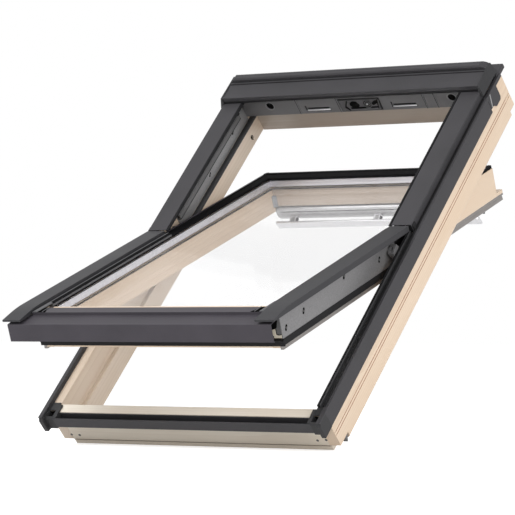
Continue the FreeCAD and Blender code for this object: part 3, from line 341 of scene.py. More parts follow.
def draw_streaks(t: Tree, entry: Node) -> dict[str, Socket]:
    """Add the faint lines that an extrusion die leaves along a section's length.

    Args:
        t: The group's tree.
        entry: The group's input node.

    Returns:
        The socket behind each output.
    """
    lines = t.fibres(entry.outputs["Vector"], 0.01, 1500.0)
    broad = t.fibres(entry.outputs["Vector"], 0.05, 130.0)
    halves = [t.span(streaks, 0.3, 0.7, 0.0, 0.5) for streaks in (lines, broad)]
    share = t.math("ADD", *halves, clamp=True)
    colour = t.mix(share, entry.outputs["Dark"], entry.outputs["Light"])
    rough = t.math("ADD", entry.outputs["Gloss"], t.span(share, 0.0, 1.0, -0.05, 0.06))
    return {"Color": colour, "Roughness": rough, "Height": lines}


def draw_zinc_spangle(t: Tree, entry: Node) -> dict[str, Socket]:
    """Add the crystal flakes of a hot dipped zinc coat, each with its own grey and gloss.

    Args:
        t: The group's tree.
        entry: The group's input node.

    Returns:
        The socket behind each output.
    """
    vector = entry.outputs["Vector"]
    wander = t.noise(vector, 160.0).outputs["Color"]
    bend = t.vector_math("MULTIPLY", wander, (0.004, 0.004, 0.004)).outputs["Vector"]
    bent = t.vector_math("ADD", vector, bend).outputs["Vector"]
    cells = t.add("TexVoronoi", {"Vector": bent, "Scale": 420.0, "Randomness": 1.0})
    flake = t.add("SeparateColor", {"Color": cells.outputs["Color"]}).outputs
    colour = t.mix(flake[0], entry.outputs["Dark"], entry.outputs["Light"])
    rough = t.span(flake[1], 0.0, 1.0, 0.3, 0.52)
    return {"Color": colour, "Roughness": rough, "Height": flake[2]}


SKIN_OUT = {"Color": "Color", "Roughness": "Float", "Height": "Float"}
TWO_TONE = {"Vector": "Vector", "Dark": "Color", "Light": "Color"}
WOOD_IN = {"Vector": "Vector", "Light": "Color", "Warm": "Color", "Late Wood": "Color"}
SAWN_GRAIN = Effect("Sawn Grain", {**WOOD_IN, "Figure": "Float"}, SKIN_OUT, draw_sawn_grain)
FINE_TEXTURE = Effect(
    "Fine Texture", {**TWO_TONE, "Grain": "Float", "Gloss": "Float"}, SKIN_OUT, draw_fine_texture
)
DRAWN_STREAKS = Effect("Drawn Streaks", {**TWO_TONE, "Gloss": "Float"}, SKIN_OUT, draw_streaks)
ZINC_SPANGLE = Effect("Zinc Spangle", TWO_TONE, SKIN_OUT, draw_zinc_spangle)
WORN_AND_LIT_EDGE = Effect(
    "Worn And Lit Edge",
    {"Vector": "Vector", "Radius": "Float"},
    {"Mask": "Float", "Normal": "Vector"},
    draw_worn_and_lit_edge,
)


# Finishes


@dataclass(frozen=True)
class Skin:
    """What a finish feeds its shader: a skin group, edges lightened by rubbing and by painted
    highlight, and plain values.
    """

    effect: Effect
    feeds: Feeds
    rubbed_and_lit: Colour
    wear_and_lit: float
    plain: dict[str, float]


@dataclass(frozen=True)
class Finish:
    """What every finish has: a name, and a material built once."""

    name: str

    def skin(self, tree: Tree, vector: Socket) -> Skin:
        """Say what goes into the shader, for the object coordinate."""
        raise NotImplementedError

    def shade(self, tree: Tree, shader: Node, vector: Socket) -> None:
        """Feed the shader from the finish's skin, with a bump and with edges lightened by rubbing
        and by painted highlight.

        Args:
            tree: The material's tree.
            shader: The Principled shader.
            vector: Object coordinate.
        """
        skin = self.skin(tree, vector)
        coat = tree.add("Group", skin.feeds, node_tree=skin.effect.group()).outputs
        edge = {"Vector": vector, "Radius": EDGE_RADIUS}
        worn_and_lit = tree.add("Group", edge, node_tree=WORN_AND_LIT_EDGE.group()).outputs
        relief = {"Strength": BUMP, "Distance": BUMP_DEPTH}
        relief.update({"Height": coat["Height"], "Normal": worn_and_lit["Normal"]})
        bump = tree.add("Bump", relief)
        # Edges turn towards the lighter rubbed colour: wear, and a painted highlight along the
        # arrises
        share = tree.math("MULTIPLY", worn_and_lit["Mask"], skin.wear_and_lit)
        tree.feed(shader, {"Base Color": tree.mix(share, coat["Color"], skin.rubbed_and_lit)})
        tree.feed(shader, {"Normal": bump.outputs["Normal"], "Roughness": coat["Roughness"]})
        tree.feed(shader, skin.plain)

    def build(self) -> bpy.types.Material:
        """Return the material, made the first time it is asked for.

        Returns:
            The material.
        """
        known = bpy.data.materials.get(self.name)
        if known is not None:
            return known
        material = bpy.data.materials.new(self.name)
        tree = Tree.of(material)
        vector = tree.add("TexCoord").outputs["Object"]
        shader = tree.add("BsdfPrincipled")
        tree.add("OutputMaterial", {"Surface": shader.outputs["BSDF"]})
        self.shade(tree, shader, vector)
        return material


@dataclass(frozen=True)
class Pine(Finish):
    """Clear lacquered pine, its grain along one direction."""

    along: Along = Along.ACROSS
    pith: Point = (0.0, 0.06, 0.02)
    light: Colour = (0.80, 0.645, 0.495)
    warm: Colour = (0.75, 0.585, 0.43)
    late: Colour = (0.58, 0.41, 0.28)
    figure: float = 0.3

    def skin(self, tree: Tree, vector: Socket) -> Skin:
        """Pine's grain about its pith, under a thin coat.

        Args:
            tree: The material's tree.
            vector: Object coordinate.

        Returns:
            What goes into the shader.
        """
        turned = tree.placed(vector, UNIT, self.along.turn())
        feeds = {"Vector": tree.placed(turned, UNIT, at=self.pith), "Figure": self.figure}
        feeds.update({"Light": self.light, "Warm": self.warm, "Late Wood": self.late})
        plain = {"Coat Weight": 0.25, "Coat Roughness": 0.35, "Specular IOR Level": 0.35}
        return Skin(SAWN_GRAIN, feeds, (0.86, 0.74, 0.6), 0.25, plain)


@dataclass(frozen=True)
class Coated(Finish):
    """Powder coated metal or moulded plastic with a fine skin, and edges lightened by rubbing and
    by painted highlight.
    """

    dark: Colour = (0.041, 0.04, 0.043)
    light: Colour = (0.056, 0.054, 0.059)
    rubbed_and_lit: Colour = (0.16, 0.16, 0.17)
    grain: float = 1300.0
    gloss: float = 0.5
    wear_and_lit: float = 0.35
    metallic: float = 0.0
    shine: float = 0.18

    def skin(self, tree: Tree, vector: Socket) -> Skin:
        """The coat's texture between its two tones.

        Args:
            tree: The material's tree.
            vector: Object coordinate.

        Returns:
            What goes into the shader.
        """
        feeds = {"Vector": vector, "Dark": self.dark, "Light": self.light}
        feeds.update({"Grain": self.grain, "Gloss": self.gloss})
        plain = {"Metallic": self.metallic, "Specular IOR Level": self.shine}
        return Skin(FINE_TEXTURE, feeds, self.rubbed_and_lit, self.wear_and_lit, plain)


@dataclass(frozen=True)
class Drawn(Finish):
    """Bare or lacquered aluminium section with die lines along its length."""

    along: Along = Along.ACROSS
    dark: Colour = (0.62, 0.62, 0.64)
    light: Colour = (0.76, 0.76, 0.78)
    gloss: float = 0.38
    metallic: float = 0.55

    def skin(self, tree: Tree, vector: Socket) -> Skin:
        """The section's streaks, turned to its length.

        Args:
            tree: The material's tree.
            vector: Object coordinate.

        Returns:
            What goes into the shader.
        """
        feeds = {"Vector": tree.placed(vector, UNIT, self.along.turn()), "Gloss": self.gloss}
        feeds.update({"Dark": self.dark, "Light": self.light})
        return Skin(DRAWN_STREAKS, feeds, (0.9, 0.9, 0.91), 0.3, {"Metallic": self.metallic})


@dataclass(frozen=True)
class Zinc(Finish):
    """Galvanised sheet."""

    dark: Colour = (0.185, 0.182, 0.186)
    light: Colour = (0.225, 0.222, 0.226)
    metallic: float = 0.3

    def skin(self, tree: Tree, vector: Socket) -> Skin:
        """The sheet's flakes between its two greys."""
        feeds = {"Vector": vector, "Dark": self.dark, "Light": self.light}
        return Skin(ZINC_SPANGLE, feeds, (0.4, 0.4, 0.41), 0.4, {"Metallic": self.metallic})


@dataclass(frozen=True)
class ClearGlass(Finish):
    """Float glass: mostly seen through, with a faint tint and a trace of haze."""

    tint: Colour = (0.9, 0.88, 0.96)
    clear: Colour = (0.94, 0.92, 0.98)
    cover: float = 0.05

    def shade(self, tree: Tree, shader: Node, vector: Socket) -> None:
        """Feed the shader from a slow haze, with no bump and no lightened edge.

        Args:
            tree: The material's tree.
            shader: The Principled shader.
            vector: Object coordinate.
        """
        haze = tree.grey(vector, 14.0, 4.0, 0.6)
        feeds = {"Roughness": tree.span(haze, 0.35, 0.7, 0.0, 0.01)}
        feeds["Base Color"] = tree.mix(tree.span(haze, 0.3, 0.7), self.tint, self.clear)
        feeds.update({"Transmission Weight": 1.0, "IOR": 1.45})
        feeds.update({"Specular IOR Level": 0.2, "Alpha": self.cover})
        tree.feed(shader, feeds)


PINE_SLOPE = Pine("Pine Stile", Along.ROOF_SLOPE, (0.0, 0.43, -0.02))
# Painted shade: a darker, greyer copy of the stile pine for the left stile, whose inner face lies
# in shade under the sash
PINE_LEFT_SHADED = Pine(
    "Pine Left Stile Shaded",
    Along.ROOF_SLOPE,
    (0.2, -0.44, -0.03),
    light=(0.715, 0.605, 0.495),
    warm=(0.67, 0.548, 0.43),
    late=(0.51, 0.38, 0.275),
)
PINE_ACROSS = Pine(
    "Pine Rail",
    Along.ACROSS,
    (0.0, 0.05, 0.09),
    light=(0.84, 0.78, 0.68),
    warm=(0.79, 0.71, 0.6),
    late=(0.62, 0.5, 0.39),
    figure=0.2,
)
# Painted shade: a dark copy of the pine for the head, whose face looks down the slope into shade
# under the hood
PINE_HEAD_SHADED = Pine(
    "Pine Head Shaded",
    Along.ACROSS,
    (0.0, 0.3, 0.3),
    light=(0.39, 0.34, 0.29),
    warm=(0.37, 0.3, 0.25),
    late=(0.27, 0.22, 0.17),
)
# Painted shade: a darker copy of the sash pine for the sash's top rail, which lies in shade
PINE_TOP_RAIL_SHADED = Pine(
    "Pine Sash Top Rail Shaded",
    Along.ACROSS,
    (0.3, 0.3, -0.3),
    light=(0.52, 0.435, 0.36),
    warm=(0.48, 0.39, 0.31),
    late=(0.37, 0.28, 0.2),
)
PINE_SASH = Pine("Pine Sash Stile", Along.SASH_SLOPE, (0.1, 0.40, 0.05))
PINE_SASH_RAIL = Pine("Pine Sash Rail", Along.ACROSS, (0.3, 0.3, -0.3))

SILVER = Drawn("Silver Section")
SPACER = Drawn("Spacer Bar", Along.ACROSS, (0.58, 0.575, 0.61), (0.76, 0.75, 0.79))
RAIL_METAL = Drawn(
    "Side Rail", Along.SASH_SLOPE, (0.2, 0.185, 0.175), (0.3, 0.28, 0.265), metallic=0.35
)
FLAP_METAL = Drawn(
    "Flap Section", Along.ACROSS, (0.46, 0.46, 0.47), (0.6, 0.6, 0.61), metallic=0.3
)
ZINC = Zinc("Galvanised Plate")
# Painted light: a lighter copy of the galvanised plate for the frame plates, which stand in shade
# inside the frame
ZINC_LIT = Zinc("Galvanised Frame Plate Lit", (0.24, 0.24, 0.243), (0.29, 0.29, 0.293))
GLASS = ClearGlass("Window Glass")

CHARCOAL = Coated("Charcoal Powder Coat")
CHARCOAL_DEEP = Coated("Deep Charcoal Coat", (0.031, 0.031, 0.034), (0.044, 0.043, 0.047))
CHARCOAL_LIGHT = Coated("Light Charcoal Coat", (0.2, 0.2, 0.205), (0.24, 0.24, 0.245))
CASING_COAT = Coated("Front Casing Coat", (0.047, 0.043, 0.051), (0.064, 0.058, 0.069))
PANEL_COAT = Coated("Head Panel Coat", (0.125, 0.124, 0.128), (0.155, 0.154, 0.158))
CLOSURE_GREY = Coated("Closure Grey", (0.12, 0.12, 0.122), (0.15, 0.15, 0.153))
# Charcoal moulding for the lock case, corner blocks and hood ends; also used as painted shade
# beside the bar's brackets
MOULDED_AND_SHADE = Coated(
    "Charcoal Moulding And Shade",
    (0.03, 0.03, 0.032),
    (0.044, 0.044, 0.046),
    grain=2100.0,
    gloss=0.55,
    wear_and_lit=0.15,
)
MOULDED_LIGHT = Coated(
    "Grey Moulding", (0.13, 0.13, 0.135), (0.18, 0.18, 0.185), grain=2100.0, wear_and_lit=0.2
)
LOCK_GREY = Coated(
    "Lock Grey", (0.075, 0.074, 0.077), (0.105, 0.103, 0.107), grain=2100.0, wear_and_lit=0.25
)
PALE_GREY = Coated("Pale Grey Moulding", (0.34, 0.34, 0.345), (0.42, 0.42, 0.425), grain=1800.0)
SOCKET_GREY = Coated("Corner Socket Grey", (0.3, 0.31, 0.335), (0.4, 0.41, 0.435), grain=1800.0)
RIB_GREY = Coated(
    "Rib Grey", (0.05, 0.05, 0.052), (0.075, 0.075, 0.078), grain=1800.0, shine=0.15
)
# Black rubber for seals and gaskets; also used as painted shade for dark steps, surrounds, gaps and
# strips
RUBBER_AND_SHADE = Coated(
    "Black Rubber And Shade",
    (0.007, 0.007, 0.008),
    (0.012, 0.012, 0.013),
    grain=800.0,
    gloss=0.7,
    wear_and_lit=0.1,
    shine=0.2,
)
GREY_BEAD = Coated("Grey Bead", (0.1, 0.1, 0.105), (0.13, 0.13, 0.135), gloss=0.45)
# Painted highlight: a faint lighter tone that stands for the sheen along the upper beads' ribs
BEAD_SHEEN = Coated("Bead Sheen", (0.04, 0.034, 0.045), (0.06, 0.052, 0.066), shine=0.2)
# Black of the upper glazing bead, also used as painted shade on the grey beads' inner slopes
BEAD_BLACK_AND_SHADE = Coated(
    "Bead Black And Shade", (0.003, 0.003, 0.0035), (0.006, 0.0058, 0.0065), gloss=0.6, wear_and_lit=0.1, shine=0.05
)
GASKET_GREY = Coated(
    "Grey Gasket", (0.045, 0.045, 0.047), (0.065, 0.065, 0.068), gloss=0.6, shine=0.15
)
# Painted shade: pure black with no reflection, for holes, pockets, beds and gaps where shade falls
SHADOW = Coated(
    "Black Recess", (0.004, 0.004, 0.004), (0.008, 0.008, 0.008), gloss=0.9, wear_and_lit=0.0, shine=0.0
)
DARK_SCREW = Coated(
    "Blackened Screw", (0.09, 0.088, 0.085), (0.13, 0.128, 0.125), gloss=0.4, metallic=0.5
)
HEARTWOOD = Coated(
    "Groove Heartwood", (0.3, 0.12, 0.075), (0.42, 0.2, 0.12), gloss=0.7, wear_and_lit=0.0, shine=0.1
)
STEP_SHADE = Coated(
    "Rail Step Shade", (0.25, 0.2, 0.16), (0.33, 0.27, 0.22), gloss=0.7, wear_and_lit=0.0, shine=0.1
)
CREAM = Coated("Cream End Piece", (0.56, 0.51, 0.41), (0.68, 0.63, 0.52), (0.78, 0.74, 0.64))


def paint(thing: Thing, finish: Finish) -> None:
    """Give a piece a single finish."""
    thing.data.materials.clear()
    thing.data.materials.append(finish.build())


@dataclass(frozen=True)
class CadFinishes:
    """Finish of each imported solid; a star in a node's name stands for left and right."""

    table: tuple[tuple[Finish, str], ...] = (
        (PINE_SLOPE, "frame_right_stile"),
        (PINE_LEFT_SHADED, "frame_left_stile"),
        (PINE_ACROSS, "frame_bottom_rail"),
        (PINE_HEAD_SHADED, "frame_head"),
        (PINE_SASH, "sash_*_stile"),
        (PINE_SASH_RAIL, "sash_bottom_rail"),
        (PINE_TOP_RAIL_SHADED, "sash_top_rail"),
        (GLASS, "outer_pane inner_pane"),
        (SPACER, "spacer_bar"),
        (FLAP_METAL, "ventilation_flap"),
        (SILVER, "control_bar"),
        (RAIL_METAL, "sash_*_rail"),
        (BEAD_BLACK_AND_SHADE, "upper_glazing_bead"),
        (GREY_BEAD, "*_glazing_bead"),
        (RUBBER_AND_SHADE, "sash_seal *_cover_seal"),
        (GASKET_GREY, "frame_*_gasket"),
        (ZINC_LIT, "frame_*_plate"),
        (ZINC, "sash_*_plate *_hinge_track *_hinge_arc"),
        (MOULDED_AND_SHADE, "lock_case *_corner_block hood_*_end"),
        (CHARCOAL, "bottom_gutter top_hood top_plate *_edge_strip *_upper_cover"),
        (CHARCOAL_DEEP, "*_lower_cover"),
        (CASING_COAT, "sash_bottom_cover"),
        (PANEL_COAT, "head_panel"),
    )

    def apply(self) -> None:
        """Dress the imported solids; their meshes stay as they are, only the slots change."""
        chosen = {
            name.replace("*", side): finish
            for finish, names in self.table
            for name in names.split()
            for side in ("left", "right")
        }
        for name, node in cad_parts.items():
            paint(node, chosen[name])
        log.info("dressed %d packed solids", len(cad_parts))


# Modelling


class Run(Enum):
    """Window direction in which an outline is pulled; the outline lies square to it."""

    ACROSS = 0
    SLOPE = 1
    OUT = 2

    def spot(self, first: float, second: float, level: float) -> Vector:
        """Put an outline point at a level along the run."""
        spot = [first, second]
        return Vector((*spot[: self.value], level, *spot[self.value :]))

    def place(self, first: float, second: float, level: float) -> Vector:
        """Place an outline point, given in millimetres, at a level along the run."""
        return self.spot(first, second, level) * MM

    def way(self, sign: float = 1.0) -> Vector:
        """Unit direction along the run, or against it for a negative sign."""
        return self.spot(0.0, 0.0, math.copysign(1.0, sign))

    def turn(self) -> Point:
        """Rotation that lays a new cylinder's axis along the run."""
        return ((0.0, QUARTER, 0.0), (-QUARTER, 0.0, 0.0), ZERO)[self.value]


def rectangle(first: Pair, second: Pair) -> list[Pair]:
    """Outline of a rectangle, from its span in each direction."""
    (left, right), (low, high) = first, second
    return [(left, low), (left, high), (right, high), (right, low)]


def stadium(centre: Pair, length: float, width: float, angle: float, steps: int = 6) -> list[Pair]:
    """Outline of a slot with round ends.

    Args:
        centre: Middle of the slot.
        length: Length over the round ends.
        width: Width of the slot.
        angle: Lean of the slot's length in degrees.
        steps: Straight pieces in each round end.

    Returns:
        The outline's points.
    """
    lean = math.radians(angle)
    half = (length - width) / 2.0
    points = []
    for side in (1.0, -1.0):
        for step in range(steps + 1):
            around = math.pi * (step / steps - 0.5) + (0.0 if side > 0.0 else math.pi)
            a = side * half + width / 2.0 * math.cos(around)
            b = width / 2.0 * math.sin(around)
            across = a * math.cos(lean) - b * math.sin(lean)
            along = a * math.sin(lean) + b * math.cos(lean)
            points.append((centre[0] + across, centre[1] + along))
    return points


@dataclass
class Bench:
    """Shapes pieces with the modelling operators and stands them on their carrier."""

    carrier: Carrier = Carrier.FRAME

    @staticmethod
    def only(thing: Thing) -> None:
        """Select one object and nothing else.

        Args:
            thing: The object.
        """
        bpy.ops.object.select_all(action="DESELECT")
        thing.select_set(True)
        bpy.context.view_layer.objects.active = thing

    @staticmethod
    def fix(name: str) -> Thing:
        """Name the active object and set its place, turn and scale into its mesh.

        Args:
            name: The name.

        Returns:
            The object.
        """
        thing = bpy.context.active_object
        thing.name = name
        bpy.ops.object.transform_apply(location=True, rotation=True, scale=True)
        return thing

    @staticmethod
    def face_outward() -> None:
        """Turn all the edited mesh's faces outward and leave edit mode."""
        bpy.ops.mesh.select_all(action="SELECT")
        bpy.ops.mesh.normals_make_consistent(inside=False)
        bpy.ops.object.mode_set(mode="OBJECT")

    def pull(self, name: str, outline: Shape, run: Run, start: float, end: float) -> Thing:
        """Draw an outline point by point, close it and extrude it.

        Args:
            name: The piece's name.
            outline: Points in the two directions square to the run, in their window order.
            run: Direction of the extrusion.
            start: Level of the outline.
            end: Level of the far end.

        Returns:
            The new solid.
        """
        points = [run.place(first, second, start) for first, second in outline]
        bpy.ops.object.select_all(action="DESELECT")
        bpy.ops.mesh.primitive_plane_add(size=MM, location=points[0])
        bpy.ops.object.mode_set(mode="EDIT")
        bpy.ops.mesh.select_mode(type="VERT")
        bpy.ops.mesh.select_all(action="SELECT")
        bpy.ops.mesh.merge(type="CENTER")
        for before, after in zip(points, points[1:]):
            bpy.ops.mesh.extrude_vertices_move(TRANSFORM_OT_translate={"value": after - before})
        bpy.ops.mesh.select_all(action="SELECT")
        bpy.ops.mesh.edge_face_add()
        step = run.place(0.0, 0.0, end) - run.place(0.0, 0.0, start)
        bpy.ops.mesh.extrude_region_move(TRANSFORM_OT_translate={"value": step})
        self.face_outward()
        return self.fix(name)

    def drum(
        self,
        name: str,
        place: Point,
        run: Run,
        radius: float,
        length: float,
        sides: int = ROUND_SIDES,
    ) -> Thing:
        """Stand a cylinder on a place along a run.

        Args:
            name: The piece's name.
            place: Middle of the near end.
            run: Direction of the axis.
            radius: Radius of the cylinder.
            length: Length along the run; a negative one goes the other way.
            sides: Number of flat sides.

        Returns:
            The new solid.
        """
        middle = Vector(place) * MM + run.place(0.0, 0.0, length / 2.0)
        size = {"vertices": sides, "radius": radius * MM, "depth": abs(length) * MM}
        bpy.ops.object.select_all(action="DESELECT")
        bpy.ops.mesh.primitive_cylinder_add(**size, location=middle, rotation=run.turn())
        return self.fix(name)

    def choose(self, thing: Thing, direction: Vector, both: bool = False) -> None:
        """Go to edit mode and select the faces that look along a direction, or both ways.

        Args:
            thing: The piece.
            direction: Outward direction of the faces.
            both: Whether faces that look the other way are selected too.
        """
        self.only(thing)
        bpy.ops.object.mode_set(mode="EDIT")
        bpy.ops.mesh.select_mode(type="FACE")
        bpy.ops.mesh.select_all(action="DESELECT")
        mesh = bmesh.from_edit_mesh(thing.data)
        for face in mesh.faces:
            facing = face.normal.dot(direction)
            if facing > FACES_ALONG or (both and facing < -FACES_ALONG):
                face.select_set(True)
        bmesh.update_edit_mesh(thing.data)

    def dish(self, thing: Thing, direction: Vector, rim: float, depth: float) -> Thing:
        """Sink the face that looks along a direction, and leave a rim round it.

        Args:
            thing: The piece.
            direction: Outward direction of the face.
            rim: Width of the rim.
            depth: Depth of the dish; a negative one raises the middle.

        Returns:
            The same piece.
        """
        self.choose(thing, direction)
        bpy.ops.mesh.inset(thickness=rim * MM)
        step = direction * (-depth * MM)
        bpy.ops.mesh.extrude_region_move(TRANSFORM_OT_translate={"value": step})
        bpy.ops.object.mode_set(mode="OBJECT")
        return thing

    def ring(
        self, name: str, place: Point, run: Run, outer: float, inner: float, length: float
    ) -> Thing:
        """Make a flat ring: a cylinder whose two ends are inset and bridged through.

        Args:
            name: The piece's name.
            place: Middle of the near end.
            run: Direction of the axis.
            outer: Outer radius.
            inner: Inner radius.
            length: Length along the run; a negative one goes the other way.

        Returns:
            The new solid.
        """
        thing = self.drum(name, place, run, outer, length)
        self.choose(thing, run.way(), both=True)
        bpy.ops.mesh.inset(thickness=(outer - inner) * MM)
        bpy.ops.mesh.bridge_edge_loops()
        self.face_outward()
        return thing

    def ease(self, thing: Thing, width: float, segments: int = 2) -> Thing:
        """Round the edges that are sharper than 30 degrees, and shade the piece smooth.

        Args:
            thing: The piece.
            width: Width of the rounding.
            segments: Strips in the rounding.

        Returns:
            The same piece.
        """
        self.only(thing)
        rounding = thing.modifiers.new("rounding", "BEVEL")
        rounding.width = width * MM
        rounding.segments = segments
        rounding.limit_method = "ANGLE"
        rounding.angle_limit = SHARP_ABOVE
        bpy.ops.object.modifier_apply(modifier=rounding.name)
        bpy.ops.object.shade_smooth_by_angle(angle=SMOOTH_BELOW)
        return thing

    def mirrored(self, thing: Thing, name: str) -> Thing:
        """Copy a piece, with its own mesh, to the other side of the window's middle.

        Args:
            thing: The piece to copy.
            name: The copy's name.

        Returns:
            The copy.
        """
        twin = thing.copy()
        twin.data = thing.data.copy()
        bpy.context.scene.collection.objects.link(twin)
        self.only(twin)
        twin.scale.x = -1.0
        self.fix(name)
        bpy.ops.object.mode_set(mode="EDIT")
        self.face_outward()
        return twin

    def joined(self, name: str, *things: Thing) -> Thing:
        """Join several solids into one piece.

        Args:
            name: The piece's name.
            things: The solids; the first one keeps its place.

        Returns:
            The piece.
        """
        self.only(things[0])
        for thing in things:
            thing.select_set(True)
        bpy.ops.object.join()
        things[0].name = name
        return things[0]

    def screw(self, place: Point, run: Run, radius: float, height: float) -> Thing:
        """Pan head screw with a sunk drive; its head stands up along the height's sign.

        Args:
            place: Middle of the head's foot.
            run: Direction of the axis.
            radius: Radius of the head.
            height: Height of the head.

        Returns:
            The new solid.
        """
        head = self.drum("screw", place, run, radius, height, 14)
        self.dish(head, run.way(height), radius * 0.45, abs(height) * 0.45)
        return self.ease(head, radius * 0.16, 1)

    def settle(self, thing: Thing, finish: Finish, slot: str) -> None:
        """Turn a piece onto its carrier, dress it and let it ride.

        Args:
            thing: The piece.
            finish: Its finish.
            slot: Its material slot in the part's record; not used.
        """
        self.only(thing)
        thing.matrix_world = self.carrier.matrix()
        bpy.ops.object.transform_apply(location=True, rotation=True, scale=True)
        paint(thing, finish)
        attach(thing, self.carrier.value)
        log.info("%s: %d faces on %s", thing.name, len(thing.data.polygons), self.carrier.value)

    def both_sides(self, thing: Thing, stem: str, finish: Finish, slot: str) -> None:
        """Settle a right-hand piece and its mirrored twin as right_ and left_ pieces.

        Args:
            thing: The right-hand piece.
            stem: What follows the side in both names.
            finish: Its finish.
            slot: Its material slot in the part's record.
        """
        twin = self.mirrored(thing, "left_" + stem)
        thing.name = "right_" + stem
        self.settle(thing, finish, slot)
        self.settle(twin, finish, slot)


# Sub-assemblies of the frame


@dataclass
class LedgeTrim(Bench):
    """Rubber profile with a light rib on the right ledge, and seals beside the upper covers."""

    ledge_in: float = 361.0
    strip_in: float = 384.0
    wood_top: float = -12.0
    skin: float = 1.4
    foot: float = 57.2
    split: float = 626.8
    cover_out: float = 380.0
    cover_end: float = 1102.0
    lip_end: float = 1093.0

    def gasket(self) -> None:
        """Two raised walls with a channel between them."""
        low, floor = self.wood_top, self.wood_top + self.skin
        near, far = self.ledge_in, self.strip_in
        inner = [(near, low), (near, -3.2), (near + 1.2, -1.8), (near + 4.6, -1.8)]
        channel = [(near + 5.6, -3.2), (near + 5.6, floor), (far - 8.0, floor), (far - 7.4, -3.6)]
        outer = [(far - 6.4, -2.6), (far - 0.2, -2.6), (far - 0.2, low)]
        outline = inner + channel + outer
        piece = self.pull("right_ledge_gasket", outline, Run.SLOPE, self.foot, self.split)
        self.settle(self.ease(piece, 0.3, 1), RUBBER_AND_SHADE, "black_rubber")

    def rib(self) -> None:
        """Light rib that stands in the channel on a small foot."""
        low = self.wood_top + self.skin
        x = self.ledge_in + 6.4
        up = [(x, low), (x, low + 1.2), (x + 1.0, low + 1.8), (x + 1.0, -2.0), (x + 1.6, -1.2)]
        down = [(x + 2.8, -1.2), (x + 3.4, -2.0), (x + 3.4, low + 1.8), (x + 4.4, low + 1.2)]
        outline = [*up, *down, (x + 4.4, low)]
        piece = self.pull("right_ledge_rib", outline, Run.SLOPE, self.foot, self.split)
        self.settle(piece, RIB_GREY, "dark_plastic")

    def strip_lip(self) -> None:
        """Thin black flange that laps over the inner edge of the right outer strip, as painted
        shade on its top.
        """
        near, far = self.strip_in - 0.1, self.strip_in + 4.6
        outline = [(near, 0.02), (near, 0.8), (self.strip_in + 4.0, 0.8), (far, 0.3), (far, 0.02)]
        piece = self.pull("right_strip_shade", outline, Run.SLOPE, self.foot - 6.0, self.lip_end)
        self.settle(piece, RUBBER_AND_SHADE, "black_rubber")

    def gap_strips(self) -> None:
        """Soft strip between each upper cover and the outer strip."""
        near, far, low = self.cover_out + 0.2, self.strip_in - 0.2, self.wood_top
        outline = [(near, low), (near, -6.0), (near + 1.4, -4.6), (far, -6.4), (far, low)]
        piece = self.pull("gap_strip", outline, Run.SLOPE, self.split + 6.2, self.cover_end)
        self.both_sides(piece, "cover_gap_strip", RUBBER_AND_SHADE, "black_rubber")

    def build(self) -> None:
        """Make the trim."""
        self.gasket()
        self.rib()
        self.strip_lip()
        self.gap_strips()


@dataclass
class StripClips(Bench):
    """Light clip on the side of each outer strip's upper end."""

    face: float = 394.0
    top: Pair = (1114.0, -2.6)
    foot: Pair = (1103.6, -34.0)
    width: float = 4.4

    def build(self) -> None:
        """Make the clip's plate and its raised middle, and mirror them."""
        half = self.width / 2.0
        (top, high), (foot, low) = self.top, self.foot
        plate = [(top - half, high), (top + half, high), (foot + half, low)]
        plate += [(foot + half * 0.3, low - 1.4), (foot - half, low)]
        piece = self.pull("clip", plate, Run.ACROSS, self.face, self.face + 0.6)
        self.dish(piece, Run.ACROSS.way(), 1.1, -0.3)
        self.both_sides(piece, "strip_clip", PALE_GREY, "zinc_plate")


